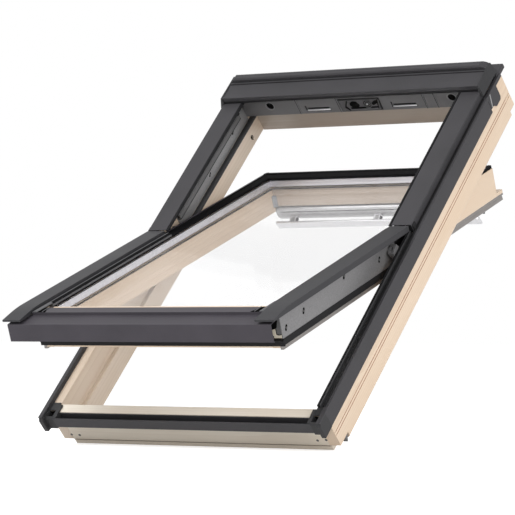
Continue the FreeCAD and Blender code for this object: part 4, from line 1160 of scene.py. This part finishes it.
@dataclass
class HeadLining(Bench):
    """What shows on the head panel: hole cups of painted shade, rims, seams, air slots and the
    lock's relief.
    """

    panel: float = 1136.0
    sheet: float = 2.0
    behind: float = 1.6
    hole_x: float = 270.0
    hole_w: float = -24.0
    hole_radius: float = 11.0
    slot_x: float = 128.0
    slot_half: float = 34.0
    slot_level: float = -41.0
    seams: tuple[float, ...] = (-188.0, -66.0, 188.0, 221.0)
    seam_span: Pair = (-56.0, 6.0)
    lock_face: float = 1133.0
    latch: Pair = (24.0, -28.6)
    lock_back: Shape = ((-60.0, -53.0), (-61.0, -13.0), (61.0, -13.0), (60.0, -53.0))
    lock_plate: Shape = ((-56.0, -49.4), (-57.4, -15.0), (57.4, -15.0), (56.0, -49.4))
    lock_edge: Shape = ((61.4, -16.0), (58.8, -16.0), (53.0, -47.0), (55.6, -47.0))
    lever: Shape = (
        (-29.0, -31.0), (-27.0, -24.0), (-18.0, -18.5), (-7.0, -20.0),
        (0.0, -32.0), (-7.0, -41.0), (-24.0, -38.0),
    )
    catch: Shape = ((34.0, -29.0), (47.0, -19.0), (56.0, -18.0), (53.0, -28.0), (41.0, -34.0))
    slide: Shape = ((-29.0, -38.6), (-29.0, -44.0), (50.0, -43.0), (52.0, -38.4))
    left_gap: Shape = (
        (-35.0, -16.0), (-31.6, -16.0), (-41.0, -35.0),
        (-31.0, -48.6), (-36.0, -48.6), (-46.0, -38.0),
    )
    right_gap: Shape = ((57.6, -16.0), (54.8, -16.0), (50.0, -46.0), (52.4, -46.0))

    def cups(self) -> None:
        """Black cup behind each round hole and each air slot: painted shade seen through them."""
        back, deep = self.panel + self.sheet + 0.1, self.behind * 0.6
        cups = []
        for x in (-self.hole_x, self.hole_x):
            place, radius = (x, back, self.hole_w), self.hole_radius + 3.0
            cup = self.drum("cup", place, Run.SLOPE, radius, self.behind)
            cups.append(self.dish(cup, Run.SLOPE.way(-1.0), 3.2, deep))
        for x in (-self.slot_x, self.slot_x):
            wide = (x - self.slot_half - 3.0, x + self.slot_half + 3.0)
            outline = rectangle(wide, (-46.0, -31.0))
            box = self.pull("box", outline, Run.SLOPE, back, back + self.behind)
            cups.append(self.dish(box, Run.SLOPE.way(-1.0), 1.6, deep))
        self.settle(self.joined("head_panel_hole_shade", *cups), SHADOW, "dark_plastic")

    def rims(self) -> None:
        """Pressed rim round each hole."""
        rings = []
        for x in (-self.hole_x, self.hole_x):
            place, outer, inner = (x, self.panel, self.hole_w), 2.6, -0.4
            ring = self.ring(
                "rim", place, Run.SLOPE, self.hole_radius + outer, self.hole_radius + inner, -0.9
            )
            rings.append(self.ease(ring, 0.35))
        self.settle(self.joined("head_panel_rims", *rings), CHARCOAL_LIGHT, "charcoal_aluminium")

    def slots(self) -> None:
        """Bright folded lip below each air slot, with a dark surround."""
        lips, frames = [], []
        face, level = self.panel, self.slot_level
        lip = [(face, level - 0.2), (face - 2.2, level - 1.2), (face - 2.6, level - 3.4)]
        lip.append((face, level - 4.4))
        for x in (-self.slot_x, self.slot_x):
            left, right = x - self.slot_half, x + self.slot_half
            lips.append(self.pull("lip", lip, Run.ACROSS, left, right))
            side = rectangle((left - 4.4, left - 1.2), (-47.0, -29.0))
            under = rectangle((left - 1.2, right + 2.0), (-47.4, -45.6))
            for bar in (side, under):
                frames.append(self.pull("frame", bar, Run.SLOPE, face - 0.7, face))
        bright = self.ease(self.joined("air_slot_lips", *lips), 0.25, 1)
        self.settle(bright, SILVER, "silver_aluminium")
        self.settle(self.joined("air_slot_frames", *frames), RUBBER_AND_SHADE, "black_rubber")

    def seam_lines(self) -> None:
        """Lapped joints of the panel: a black step of painted shade with a light edge of painted
        highlight.
        """
        dark, light = [], []
        for x in self.seams:
            step = rectangle((x - 1.1, x + 1.1), self.seam_span)
            dark.append(self.pull("step", step, Run.SLOPE, self.panel - 0.5, self.panel))
            edge = rectangle((x + 1.1, x + 2.6), self.seam_span)
            light.append(self.pull("edge", edge, Run.SLOPE, self.panel - 0.9, self.panel))
        self.settle(self.joined("head_panel_seam_shade", *dark), RUBBER_AND_SHADE, "black_rubber")
        # The light edge is a painted highlight, in a lighter charcoal
        self.settle(self.joined("head_panel_seam_highlight", *light), CHARCOAL_LIGHT, "charcoal_aluminium")

    def lock(self) -> None:
        """Relief of the lock: dark surround and pockets of painted shade, grey plate, and round
        latch with its pin.
        """
        face, toward = self.lock_face, Run.SLOPE.way(-1.0)
        x, w = self.latch
        plate = self.pull("plate", self.lock_plate, Run.SLOPE, face - 0.8, face)
        self.dish(plate, toward, 2.0, 0.4)
        # Painted shade: a black sheet behind the plate, wider than it
        dark = self.pull("lock_surround_shade", self.lock_back, Run.SLOPE, self.panel - 1.0, self.panel)
        self.settle(dark, RUBBER_AND_SHADE, "black_rubber")
        hub = self.drum("hub", (x, face - 0.4, w), Run.SLOPE, 4.6, -2.4, 20)
        self.dish(hub, toward, 1.4, 0.5)
        relief = [plate, hub]
        for out in (13.4, 8.8):
            relief.append(self.ring("arc", (x, face - 0.4, w), Run.SLOPE, out, out - 2.2, -1.8))
        relief.append(self.pull("edge", self.lock_edge, Run.SLOPE, face - 1.6, face - 0.4))
        piece = self.ease(self.joined("lock_relief", *relief), 0.3, 1)
        self.settle(piece, LOCK_GREY, "dark_plastic")
        # Painted shade: black pockets round the lever, catch and slide
        pockets = []
        for shape in (self.lever, self.catch, self.slide, self.left_gap, self.right_gap):
            pockets.append(self.pull("pocket", shape, Run.SLOPE, face - 1.0, face - 0.5))
        for out in (11.0, 6.4):
            pockets.append(self.ring("arc", (x, face - 0.3, w), Run.SLOPE, out, out - 1.8, -1.2))
        self.settle(self.joined("lock_pocket_shade", *pockets), SHADOW, "dark_plastic")
        pin = self.drum("lock_pin", (x, face - 2.4, w), Run.SLOPE, 1.6, -1.0, 16)
        self.settle(self.ease(pin, 0.4), SILVER, "silver_aluminium")

    def build(self) -> None:
        """Make the lining's pieces."""
        self.cups()
        self.rims()
        self.slots()
        self.seam_lines()
        self.lock()


@dataclass
class HoodTrim(Bench):
    """Dark lines of the top casing, as painted shade: a black strip on its lip's front and two in
    its groove.
    """

    half: float = 376.6
    front: float = 1104.0
    lip: float = 20.0
    shade_level: float = 35.6
    groove: float = 1168.0
    shade_lines_back: Pair = (1.2, 9.0)

    def build(self) -> None:
        """Make the black strip of painted shade at the lip and the two in the groove."""
        v, w = self.front, self.lip
        lip = [(v, w - 2.0), (v - 1.4, w - 1.4), (v - 1.4, w + 4.6), (v, w + 5.4)]
        gasket = self.pull("hood_lip_shade", lip, Run.ACROSS, -self.half, self.half)
        self.settle(self.ease(gasket, 0.4), RUBBER_AND_SHADE, "black_rubber")
        shade_lines = []
        for back in self.shade_lines_back:
            v, w = self.groove - back, self.shade_level
            line = [(v, w), (v, w + 0.9), (v - 1.8, w + 0.6), (v - 1.8, w - 0.6)]
            shade_lines.append(self.pull("seal", line, Run.ACROSS, -self.half, self.half))
        self.settle(self.joined("hood_groove_shade", *shade_lines), RUBBER_AND_SHADE, "black_rubber")


@dataclass
class PivotDress(Bench):
    """Black block between the covers at each pivot."""

    inner: float = 363.0
    outer: float = 383.6
    foot: float = 627.0
    end: float = 642.0
    low: float = -12.0
    high: float = 14.6

    def build(self) -> None:
        """Make the block with a sloped nose."""
        foot, end, low, high = self.foot, self.end, self.low, self.high
        nose = [(foot + 5.0, low), (foot, low + 6.0), (foot, high - 3.0), (foot + 2.0, high)]
        outline = [*nose, (end, high), (end, low)]
        block = self.ease(self.pull("block", outline, Run.ACROSS, self.inner, self.outer), 0.8)
        self.both_sides(block, "pivot_block", RUBBER_AND_SHADE, "dark_plastic")


@dataclass
class CoverClosures(Bench):
    """Walls under the upper covers' inner edges, and the corners and strips by the head panel."""

    wall: float = 349.6
    thick: float = 1.4
    plate_face: float = 359.2
    foot: float = 719.0
    end: float = 1103.0
    low: float = -31.4
    high: float = 14.0
    stile_in: float = 361.0
    panel: float = 1139.8
    corner_top: float = -12.4

    def walls(self) -> None:
        """Folded wall with a rib near its foot, from the plate to the cover."""
        x, low, high, far = self.wall, self.low, self.high, self.plate_face
        rib = [(x, low + 10.4), (x - 1.4, low + 11.2), (x - 1.4, low + 12.8), (x, low + 13.6)]
        fold = [(x, high), (x + self.thick, high), (x + self.thick, low + self.thick)]
        outline = [(x, low), *rib, *fold, (far, low + self.thick), (far, low)]
        piece = self.pull("wall", outline, Run.SLOPE, self.foot, self.end)
        self.both_sides(piece, "cover_closure", CLOSURE_GREY, "charcoal_aluminium")
        # Painted shade: a black strip in the gap along each wall's foot
        seal = rectangle((x - 0.2, far), (low - 0.1, low - 1.9))
        line = self.pull("line", seal, Run.SLOPE, self.foot, self.end)
        self.both_sides(line, "closure_gap_shade", RUBBER_AND_SHADE, "black_rubber")

    def brackets(self) -> None:
        """Dark bracket at the end of each wall."""
        x, end, high = self.wall - 3.6, self.end, self.high - 1.0
        top = [(end - 16.0, -12.8), (end - 16.0, 6.0), (end - 10.0, high), (end, high)]
        outline = [*top, (end, -18.0), (end - 7.0, -18.0)]
        piece = self.ease(self.pull("bracket", outline, Run.ACROSS, x, x + 2.6), 0.5, 1)
        self.both_sides(piece, "closure_bracket", RUBBER_AND_SHADE, "dark_plastic")

    def plate_corners(self) -> None:
        """Turned-up corner of each frame plate by the head panel, and a strip beside it."""
        x, top = self.stile_in, self.corner_top
        upper = [(1121.0, top), (self.panel, top), (self.panel, -68.0)]
        outline = [*upper, (1133.0, -68.0), (1133.0, -35.0), (1121.0, -35.0)]
        piece = self.ease(self.pull("corner", outline, Run.ACROSS, x - 2.2, x), 0.4, 1)
        self.both_sides(piece, "plate_corner", ZINC_LIT, "zinc_plate")
        beside = rectangle((x - 13.6, x - 2.3), (-57.0, top))
        strip = self.pull("strip", beside, Run.SLOPE, self.panel - 2.4, self.panel)
        self.both_sides(strip, "head_end_strip", PANEL_COAT, "charcoal_aluminium")

    def build(self) -> None:
        """Make the walls, the brackets and the corners."""
        self.walls()
        self.brackets()
        self.plate_corners()


@dataclass
class RailDetails(Bench):
    """Screws and step of the bottom rail, the stiles' clips and bushes, and the grooves' lining."""

    down: float = 33.0
    stile_out: float = 390.0
    lip_in: float = 349.0
    groove_levels: Pair = (-69.0, -77.0)
    groove_floor: float = 387.5
    groove_span: Pair = (41.0, 1170.0)
    screws: Shape = ((-338.5, -95.0), (-361.6, -93.6), (334.3, -92.8), (358.1, -90.4))
    bushes_at: Pair = (119.5, 1106.0)
    bush_w: float = -102.5
    step: float = -110.4
    step_half: float = 361.0
    ledge: Pair = (361.5, 383.6)
    clip: Shape = ((58.0, -107.8), (60.6, -124.6), (68.0, -114.0), (70.0, -107.8))

    def rail_screws(self) -> None:
        """Countersunk screws in the rail's down-slope face."""
        face = self.down + 0.2
        made = [self.screw((x, face, w), Run.SLOPE, 3.4, -0.9) for x, w in self.screws]
        self.settle(self.joined("rail_screws", *made), DARK_SCREW, "zinc_plate")

    def bushes(self) -> None:
        """Bolt bush round each socket in the stiles' inner faces, with its keyhole tail, and a plug
        of painted shade in the socket.
        """
        made, x, w = [], self.lip_in, self.bush_w
        for v in self.bushes_at:
            made.append(self.ring("bush", (x, v, w), Run.ACROSS, 5.9, 4.6, -0.6))
            tail = stadium((v, w - 6.1), 5.4, 2.8, 90.0, 4)
            made.append(self.pull("tail", tail, Run.ACROSS, x - 0.8, x))
            # Painted shade: a black plug inside the socket for the dark of its depth
            made.append(self.drum("plug", (x + 3.0, v, w), Run.ACROSS, 4.9, 1.2, 20))
        self.both_sides(self.joined("bushes", *made), "bolt_bushes", SHADOW, "dark_plastic")

    def groove_lining(self) -> None:
        """Reddish heartwood that shows in the two saw grooves of each stile."""
        wide = (self.groove_floor, self.groove_floor + 2.4)
        lines = [rectangle(wide, (w - 1.1, w + 1.1)) for w in self.groove_levels]
        strips = [self.pull("strip", line, Run.SLOPE, *self.groove_span) for line in lines]
        self.both_sides(self.joined("strips", *strips), "groove_lining", HEARTWOOD, "pine")

    def step_line(self) -> None:
        """Shaded edge along the step of the bottom rail."""
        near, far, w = self.down + 0.2, self.down - 0.5, self.step
        outline = [(near, w + 0.9), (far, w + 0.6), (far, w - 0.4), (near, w - 0.7)]
        line = self.pull("rail_step_line", outline, Run.ACROSS, -self.step_half, self.step_half)
        self.settle(line, STEP_SHADE, "pine")

    def corner_fills(self) -> None:
        """Black back of the pocket in each moulded corner, as painted shade."""
        outline = rectangle((self.down - 1.2, self.down - 0.1), (-28.0, -12.4))
        fill = self.pull("fill", outline, Run.ACROSS, *self.ledge)
        self.dish(fill, Run.SLOPE.way(-1.0), 1.0, 0.4)
        self.both_sides(fill, "corner_fill", SHADOW, "dark_plastic")

    def stile_clips(self) -> None:
        """Small grey wedge in the notch at each stile's foot."""
        inner, outer = self.stile_out - 12.0, self.stile_out - 0.2
        clip = self.ease(self.pull("clip", self.clip, Run.ACROSS, inner, outer), 0.4, 1)
        self.both_sides(clip, "stile_clip", CLOSURE_GREY, "zinc_plate")

    def build(self) -> None:
        """Make the details."""
        self.step_line()
        self.corner_fills()
        self.stile_clips()
        self.rail_screws()
        self.bushes()
        self.groove_lining()


@dataclass
class FramePlateFixings(Bench):
    """Oval bushes and screws in the slots of the two frame plates."""

    face: float = 359.4
    back: float = 360.9
    slots: Shape = ((762.0, -38.0), (905.0, -50.0), (1060.0, -44.0))
    oval: Pair = (13.6, 5.6)
    lean: float = 25.0

    def build(self) -> None:
        """Make the right plate's bushes and screws, and mirror them."""
        ovals, screws = [], []
        for v, w in self.slots:
            outline = stadium((v, w), *self.oval, self.lean)
            ovals.append(self.pull("oval", outline, Run.ACROSS, self.back, self.face + 0.5))
            screws.append(self.screw((self.face + 0.6, v, w), Run.ACROSS, 2.3, -0.9))
        self.both_sides(self.joined("ovals", *ovals), "plate_bushes", SHADOW, "dark_plastic")
        self.both_sides(self.joined("screws", *screws), "plate_screws", DARK_SCREW, "zinc_plate")


# Sub-assemblies of the sash


@dataclass
class SashPlateFixings(Bench):
    """Oval bushes and screws in the slots of the sash plates, with the pivot's cap and shroud."""

    carrier: Carrier = Carrier.SASH
    wood: float = 338.0
    face: float = 340.0
    slots: Shape = ((93.1, -44.7), (174.1, -34.0), (364.2, -17.6), (526.2, -33.4))
    oval: Pair = (15.6, 7.6)
    lean: float = 60.0
    boss: Pair = (574.5, -27.7)
    boss_end: float = 352.5
    cover: Shape = (
        (528.0, -86.4), (528.0, -64.4), (605.4, -64.4), (605.4, 1.4),
        (668.0, 1.4), (668.0, -44.0), (642.0, -86.4),
    )

    def fixings(self) -> None:
        """Bush and screw in each of the plate's slots."""
        ovals, screws = [], []
        for v, w in self.slots:
            outline = stadium((v, w), *self.oval, self.lean)
            ovals.append(self.pull("oval", outline, Run.ACROSS, self.wood + 0.1, self.face - 0.3))
            screws.append(self.screw((self.face - 0.4, v, w), Run.ACROSS, 2.7, 1.1))
        self.both_sides(self.joined("ovals", *ovals), "sash_plate_bushes", SHADOW, "dark_plastic")
        screws = self.joined("screws", *screws)
        self.both_sides(screws, "sash_plate_screws", DARK_SCREW, "zinc_plate")

    def shroud(self) -> None:
        """Black plate that covers the stile beside the hinge."""
        plate = self.pull("shroud", self.cover, Run.ACROSS, self.wood, self.wood + 1.4)
        self.dish(plate, Run.ACROSS.way(), 2.0, 0.5)
        self.both_sides(plate, "hinge_shroud", RUBBER_AND_SHADE, "dark_plastic")

    def cap(self) -> None:
        """Dished cap on the end of the hinge's boss."""
        cap = self.drum("cap", (self.boss_end, *self.boss), Run.ACROSS, 6.4, 1.2)
        self.dish(cap, Run.ACROSS.way(), 1.8, 0.5)
        self.both_sides(self.ease(cap, 0.5), "pivot_cap", RUBBER_AND_SHADE, "dark_plastic")

    def build(self) -> None:
        """Make the right side's pieces, and mirror them."""
        self.fixings()
        self.shroud()
        self.cap()


@dataclass
class GlazingTrim(Bench):
    """Edge seal of the double pane, painted highlights and shades of its beads, and the corner
    sockets.
    """

    carrier: Carrier = Carrier.SASH
    seal_out: float = 308.6
    seal_in: float = 304.4
    foot: float = 118.4
    end: float = 1097.6
    under: float = -24.4
    drop: float = 3.4
    upper_span: Pair = (634.0, 1104.0)
    lower_span: Pair = (110.5, 623.0)
    flat: Shape = ((327.6, 10.2), (328.0, 11.0), (334.4, 10.3), (334.8, 9.6))
    slope: Shape = (
        (314.8, 12.3), (314.6, 12.8), (309.8, 9.9),
        (308.6, 8.2), (308.9, 8.0), (310.2, 9.4),
    )
    bead_foot: Shape = ((308.1, 3.6), (307.5, 3.4), (307.3, 0.05), (308.1, 0.05))
    post: Point = (304.6, 1094.4, -43.0)
    post_radius: float = 9.0
    post_length: float = 31.0
    rail_width: float = 4.2

    def edge_seal(self) -> None:
        """Black bead under the pane's edge, all round the opening."""
        low, high, near, far = self.under - self.drop, self.under, self.seal_in, self.seal_out
        side = [(near, low + 1.0), (near, high), (far, high), (far, low), (near + 1.4, low)]
        right = self.pull("right", side, Run.SLOPE, self.foot, self.end)
        pieces = [right, self.mirrored(right, "left")]
        for v, inward in ((self.foot, self.rail_width), (self.end, -self.rail_width)):
            outline = [(v, low), (v, high), (v + inward, high), (v + inward, low + 1.0)]
            pieces.append(self.pull("rail", outline, Run.ACROSS, -far, far))
        self.settle(self.joined("pane_edge_seal", *pieces), RUBBER_AND_SHADE, "black_rubber")

    def bead_flats(self) -> None:
        """Faint lighter flat along the raised rib of each upper bead: a painted highlight of its
        sheen.
        """
        piece = self.pull("flat", self.flat, Run.SLOPE, *self.upper_span)
        self.both_sides(piece, "bead_sheen_line", BEAD_SHEEN, "black_rubber")

    def bead_shades(self) -> None:
        """Black skin of painted shade on the inner slope of each grey bead, and at its foot on the
        glass.
        """
        shapes = (self.slope, self.bead_foot)
        skins = [self.pull("skin", shape, Run.SLOPE, *self.lower_span) for shape in shapes]
        self.both_sides(self.joined("skins", *skins), "bead_shade", BEAD_BLACK_AND_SHADE, "black_rubber")

    def corner_sockets(self) -> None:
        """Round grey post in each upper inner corner of the sash."""
        post = self.drum("post", self.post, Run.OUT, self.post_radius, -self.post_length)
        self.dish(post, Run.OUT.way(-1.0), 2.0, 1.0)
        self.both_sides(self.ease(post, 0.8), "corner_socket", SOCKET_GREY, "dark_plastic")

    def build(self) -> None:
        """Make the trim."""
        self.edge_seal()
        self.bead_flats()
        self.bead_shades()
        self.corner_sockets()


@dataclass
class SashFoot(Bench):
    """What stands at the sash's lower corners: bead tails in their beds, and end pieces."""

    carrier: Carrier = Carrier.SASH
    end: float = 76.0
    tail: Shape = (
        (309.5, 10.0), (309.5, 11.0), (311.5, 12.6), (315.5, 13.0),
        (322.6, 11.6), (324.6, 10.4), (324.6, 10.0),
    )
    bed: Shape = ((286.0, 45.6), (345.4, 45.6), (345.4, 60.0), (325.8, 77.6), (300.0, 77.6))
    rib: Shape = ((295.0, 10.4), (295.4, 11.6), (296.8, 11.6), (297.4, 10.4))
    tail_span: Pair = (45.4, 109.5)
    bed_levels: Pair = (10.05, 10.7)
    rib_span: Pair = (47.0, 77.4)
    sheet: tuple[Pair, Pair] = ((306.0, 337.6), (-63.4, -4.0))
    recess: Shape = ((307.0, -6.0), (331.0, -12.0), (331.0, -24.0), (326.2, -39.0), (307.0, -39.0))
    edge: Shape = (
        (307.0, -39.6), (324.2, -39.0), (324.6, -53.4), (329.8, -55.2),
        (337.4, -53.2), (337.4, -63.2), (307.0, -63.2),
    )
    cream: Shape = (
        (314.4, -43.0), (322.8, -40.7), (323.2, -54.4), (329.5, -56.5), (336.8, -54.6),
        (336.8, -62.4), (316.0, -62.4), (316.2, -58.0), (313.2, -54.0),
    )

    def bead_tails(self) -> None:
        """Grey beads that run on over the lower casing's ledge."""
        piece = self.ease(self.pull("tail", self.tail, Run.SLOPE, *self.tail_span), 0.4)
        self.both_sides(piece, "bead_tail", GREY_BEAD, "black_rubber")

    def tail_beds(self) -> None:
        """Black bed of painted shade beside each bead tail, on the casing's ledge, with a thin
        light rib.
        """
        bed = self.pull("bed", self.bed, Run.OUT, *self.bed_levels)
        self.dish(bed, Run.OUT.way(), 0.6, 0.2)
        self.both_sides(bed, "tail_bed", SHADOW, "black_rubber")
        rib = self.pull("rib", self.rib, Run.SLOPE, *self.rib_span)
        self.both_sides(rib, "tail_rib", GREY_BEAD, "black_rubber")

    def end_pieces(self) -> None:
        """Plate on the end of each stile, with a cream end piece in a dark edge of painted shade.
        """
        v = self.end - 0.1
        plate = self.pull("plate", rectangle(*self.sheet), Run.SLOPE, v - 0.8, v)
        self.dish(plate, Run.SLOPE.way(-1.0), 1.0, 0.2)
        self.both_sides(plate, "foot_plate", CLOSURE_GREY, "zinc_plate")
        # Painted shade: a black sheet behind the cream piece and round its edge
        shapes = (self.recess, self.edge)
        dark = [self.pull("dark", shape, Run.SLOPE, v - 1.3, v - 0.8) for shape in shapes]
        self.both_sides(self.joined("dark", *dark), "foot_recess", SHADOW, "dark_plastic")
        cream = self.ease(self.pull("cream", self.cream, Run.SLOPE, v - 2.5, v - 1.3), 0.5)
        self.both_sides(cream, "end_piece", CREAM, "pine")

    def build(self) -> None:
        """Make the foot's pieces."""
        self.bead_tails()
        self.tail_beds()
        self.end_pieces()


@dataclass
class BarDress(Bench):
    """Covers of the control bar's brackets with blocks of painted shade beside them, shaded lines,
    and the flap's end caps.

    The shapes are in the flap's own drawing: up the slope from the opening, and down
    from the lip.
    """

    carrier: Carrier = Carrier.CONTROL
    open_end: float = 1094.0
    lip_back: float = -73.0
    flap_half: float = 302.0
    pitch: float = 255.0
    half: float = 5.6
    cover: Shape = ((-4.0, 50.0), (-12.4, 39.2), (-4.0, 32.6), (1.2, 28.6), (10.4, 41.2))
    block: Shape = ((-9.0, 40.0), (-4.0, 34.6), (1.2, 31.0), (7.0, 39.4), (-3.0, 46.0))
    crease: Shape = ((-1.8, 14.0), (-2.5, 14.2), (-2.3, 16.4), (-1.6, 16.6))
    bar_edge: Shape = ((-10.9, 38.3), (-10.3, 37.9), (-9.2, 39.6), (-9.8, 40.2))
    cap: Shape = (
        (-2.0, 8.0), (-1.4, 19.0), (4.6, 30.0), (14.5, 38.5), (18.0, 38.5),
        (21.4, 26.0), (32.0, 14.0), (46.0, 12.0), (46.0, 4.5), (1.0, 4.5),
    )

    def length(self, name: str, shape: Shape, start: float, end: float) -> Thing:
        """Pull a shape of the flap's drawing across the window."""
        outline = [(self.open_end + up, self.lip_back - drop) for up, drop in shape]
        return self.pull(name, outline, Run.ACROSS, start, end)

    def brackets(self) -> None:
        """Moulded cover round each of the bar's three arms, with a dark block of painted shade
        beside it.
        """
        middles, half = (-self.pitch, 0.0, self.pitch), self.half
        made = [self.length("cover", self.cover, x - half, x + half) for x in middles]
        piece = self.ease(self.joined("bar_brackets", *made), 1.0)
        self.settle(piece, PALE_GREY, "dark_plastic")
        # Painted shade: a dark block at the right of each bracket
        made = [self.length("block", self.block, x + half, x + half + 5.0) for x in middles]
        piece = self.ease(self.joined("bar_bracket_shade", *made), 0.6, 1)
        self.settle(piece, MOULDED_AND_SHADE, "dark_plastic")

    def caps(self) -> None:
        """Dark plastic cap on each end of the flap."""
        cap = self.length("cap", self.cap, self.flap_half, self.flap_half + 2.2)
        self.both_sides(self.ease(cap, 0.7), "flap_cap", MOULDED_LIGHT, "dark_plastic")

    def lines(self) -> None:
        """Shaded crease of the flap's front and shaded upper edge of the bar."""
        made = [self.length("line", self.crease, 12.0 - self.flap_half, self.flap_half)]
        made.append(self.length("line", self.bar_edge, -self.flap_half, self.flap_half))
        self.settle(self.joined("bar_lines", *made), CLOSURE_GREY, "silver_aluminium")

    def build(self) -> None:
        """Make the lines, the brackets and the caps."""
        self.lines()
        self.brackets()
        self.caps()


# Stage, light and camera


def stand(name: str, data: bpy.types.ID, place: Point, direction: Vector) -> Thing:
    """Put a lamp or a camera in place, looking along a direction.

    Args:
        name: The object's name.
        data: The lamp or camera data.
        place: Where it stands.
        direction: Where it looks.

    Returns:
        The new object.
    """
    thing = bpy.data.objects.new(name, data)
    bpy.context.scene.collection.objects.link(thing)
    thing.location = place
    thing.rotation_euler = direction.to_track_quat("-Z", "Y").to_euler()
    return thing


@dataclass(frozen=True)
class Lamp:
    """A soft box that points at the window's middle."""

    name: str
    place: Point
    size: Pair
    power: float
    aim: Point = (0.0, 0.33, 0.45)

    def hang(self) -> None:
        """Add the lamp."""
        data = bpy.data.lights.new(self.name, "AREA")
        data.shape = "RECTANGLE"
        data.size, data.size_y = self.size
        data.energy = self.power
        stand(self.name, data, self.place, Vector(self.aim) - Vector(self.place))


@dataclass
class Studio:
    """Pale floor, even surroundings, soft boxes and the camera."""

    camera_place: Point = (3.8946, -5.6541, 0.2505)
    camera_aim: Point = (-0.54895, 0.83555, 0.02254)
    lens: float = 206.19
    sensor: float = 36.0
    clip: Pair = (0.1, 100.0)
    floor_level: float = -0.037
    floor_size: float = 60.0
    floor_lift: float = 0.62
    floor_tones: tuple[Colour, Colour] = ((0.78, 0.78, 0.78), (0.8, 0.8, 0.8))
    surround: float = 0.5
    lamps: tuple[Lamp, ...] = (
        Lamp("key box", (-1.6, -2.6, 3.4), (2.6, 2.0), 120.0),
        Lamp("side box", (3.6, -0.6, 1.6), (2.4, 2.4), 70.0),
        Lamp("front box", (1.2, -3.8, 0.4), (2.4, 1.6), 30.0),
    )

    @staticmethod
    def seen(t: Tree) -> Socket:
        """One for rays that end in the eye: straight, mirrored or through glass.

        Args:
            t: The tree that needs it.

        Returns:
            One for such rays, zero for the rest.
        """
        path = t.add("LightPath").outputs
        straight = t.math("MAXIMUM", path["Is Camera Ray"], path["Is Glossy Ray"])
        return t.math("MAXIMUM", straight, path["Is Transmission Ray"])

    def world(self) -> None:
        """White to the camera, plain grey light for everything else."""
        world = bpy.data.worlds.new("studio")
        bpy.context.scene.world = world
        t = Tree.of(world)
        sky = t.add("Background", {"Color": WHITE, "Strength": self.surround})
        white = t.add("Background", {"Color": WHITE, "Strength": 1.0})
        mixed = t.add("MixShader", {0: self.seen(t), 1: sky.outputs[0], 2: white.outputs[0]})
        t.add("OutputWorld", {"Surface": mixed.outputs[0]})

    def floor(self) -> None:
        """Lay a large pale floor that shows white and keeps a faint shadow."""
        place = (0.0, 0.0, self.floor_level)
        bpy.ops.mesh.primitive_plane_add(size=self.floor_size, location=place)
        floor = bpy.context.active_object
        floor.name = "studio_floor"
        material = bpy.data.materials.new("Studio Floor")
        t = Tree.of(material)
        haze = t.grey(t.add("TexCoord").outputs["Object"], 1.5)
        shade = t.add("BsdfDiffuse", {"Color": t.mix(haze, *self.floor_tones)})
        strength = t.math("MULTIPLY", self.seen(t), self.floor_lift)
        lift = t.add("Emission", {"Color": WHITE, "Strength": strength})
        both = t.add("AddShader", {0: shade.outputs[0], 1: lift.outputs[0]})
        t.add("OutputMaterial", {"Surface": both.outputs[0]})
        floor.data.materials.append(material)

    def camera(self) -> None:
        """Stand the camera where the photograph was taken."""
        data = bpy.data.cameras.new("view")
        data.lens = self.lens
        data.sensor_width = self.sensor
        data.clip_start, data.clip_end = self.clip
        direction = Vector(self.camera_aim)
        bpy.context.scene.camera = stand("view", data, self.camera_place, direction)

    def build(self) -> None:
        """Set up everything round the window."""
        bpy.context.scene.view_settings.view_transform = "Standard"
        self.world()
        self.floor()
        for lamp in self.lamps:
            lamp.hang()
        self.camera()
        log.info("studio ready with %d lamps", len(self.lamps))


PARTS = (
    LedgeTrim,
    StripClips,
    HeadLining,
    HoodTrim,
    PivotDress,
    CoverClosures,
    RailDetails,
    FramePlateFixings,
    SashPlateFixings,
    GlazingTrim,
    SashFoot,
    BarDress,
)


def main() -> None:
    """Build the window's looks."""
    logging.basicConfig(level=logging.INFO, format="%(name)s: %(message)s")
    bpy.ops.object.select_all(action="DESELECT")
    CadFinishes().apply()
    for part in PARTS:
        part().build()
    Studio().build()


if __name__ == "__main__":
    main()
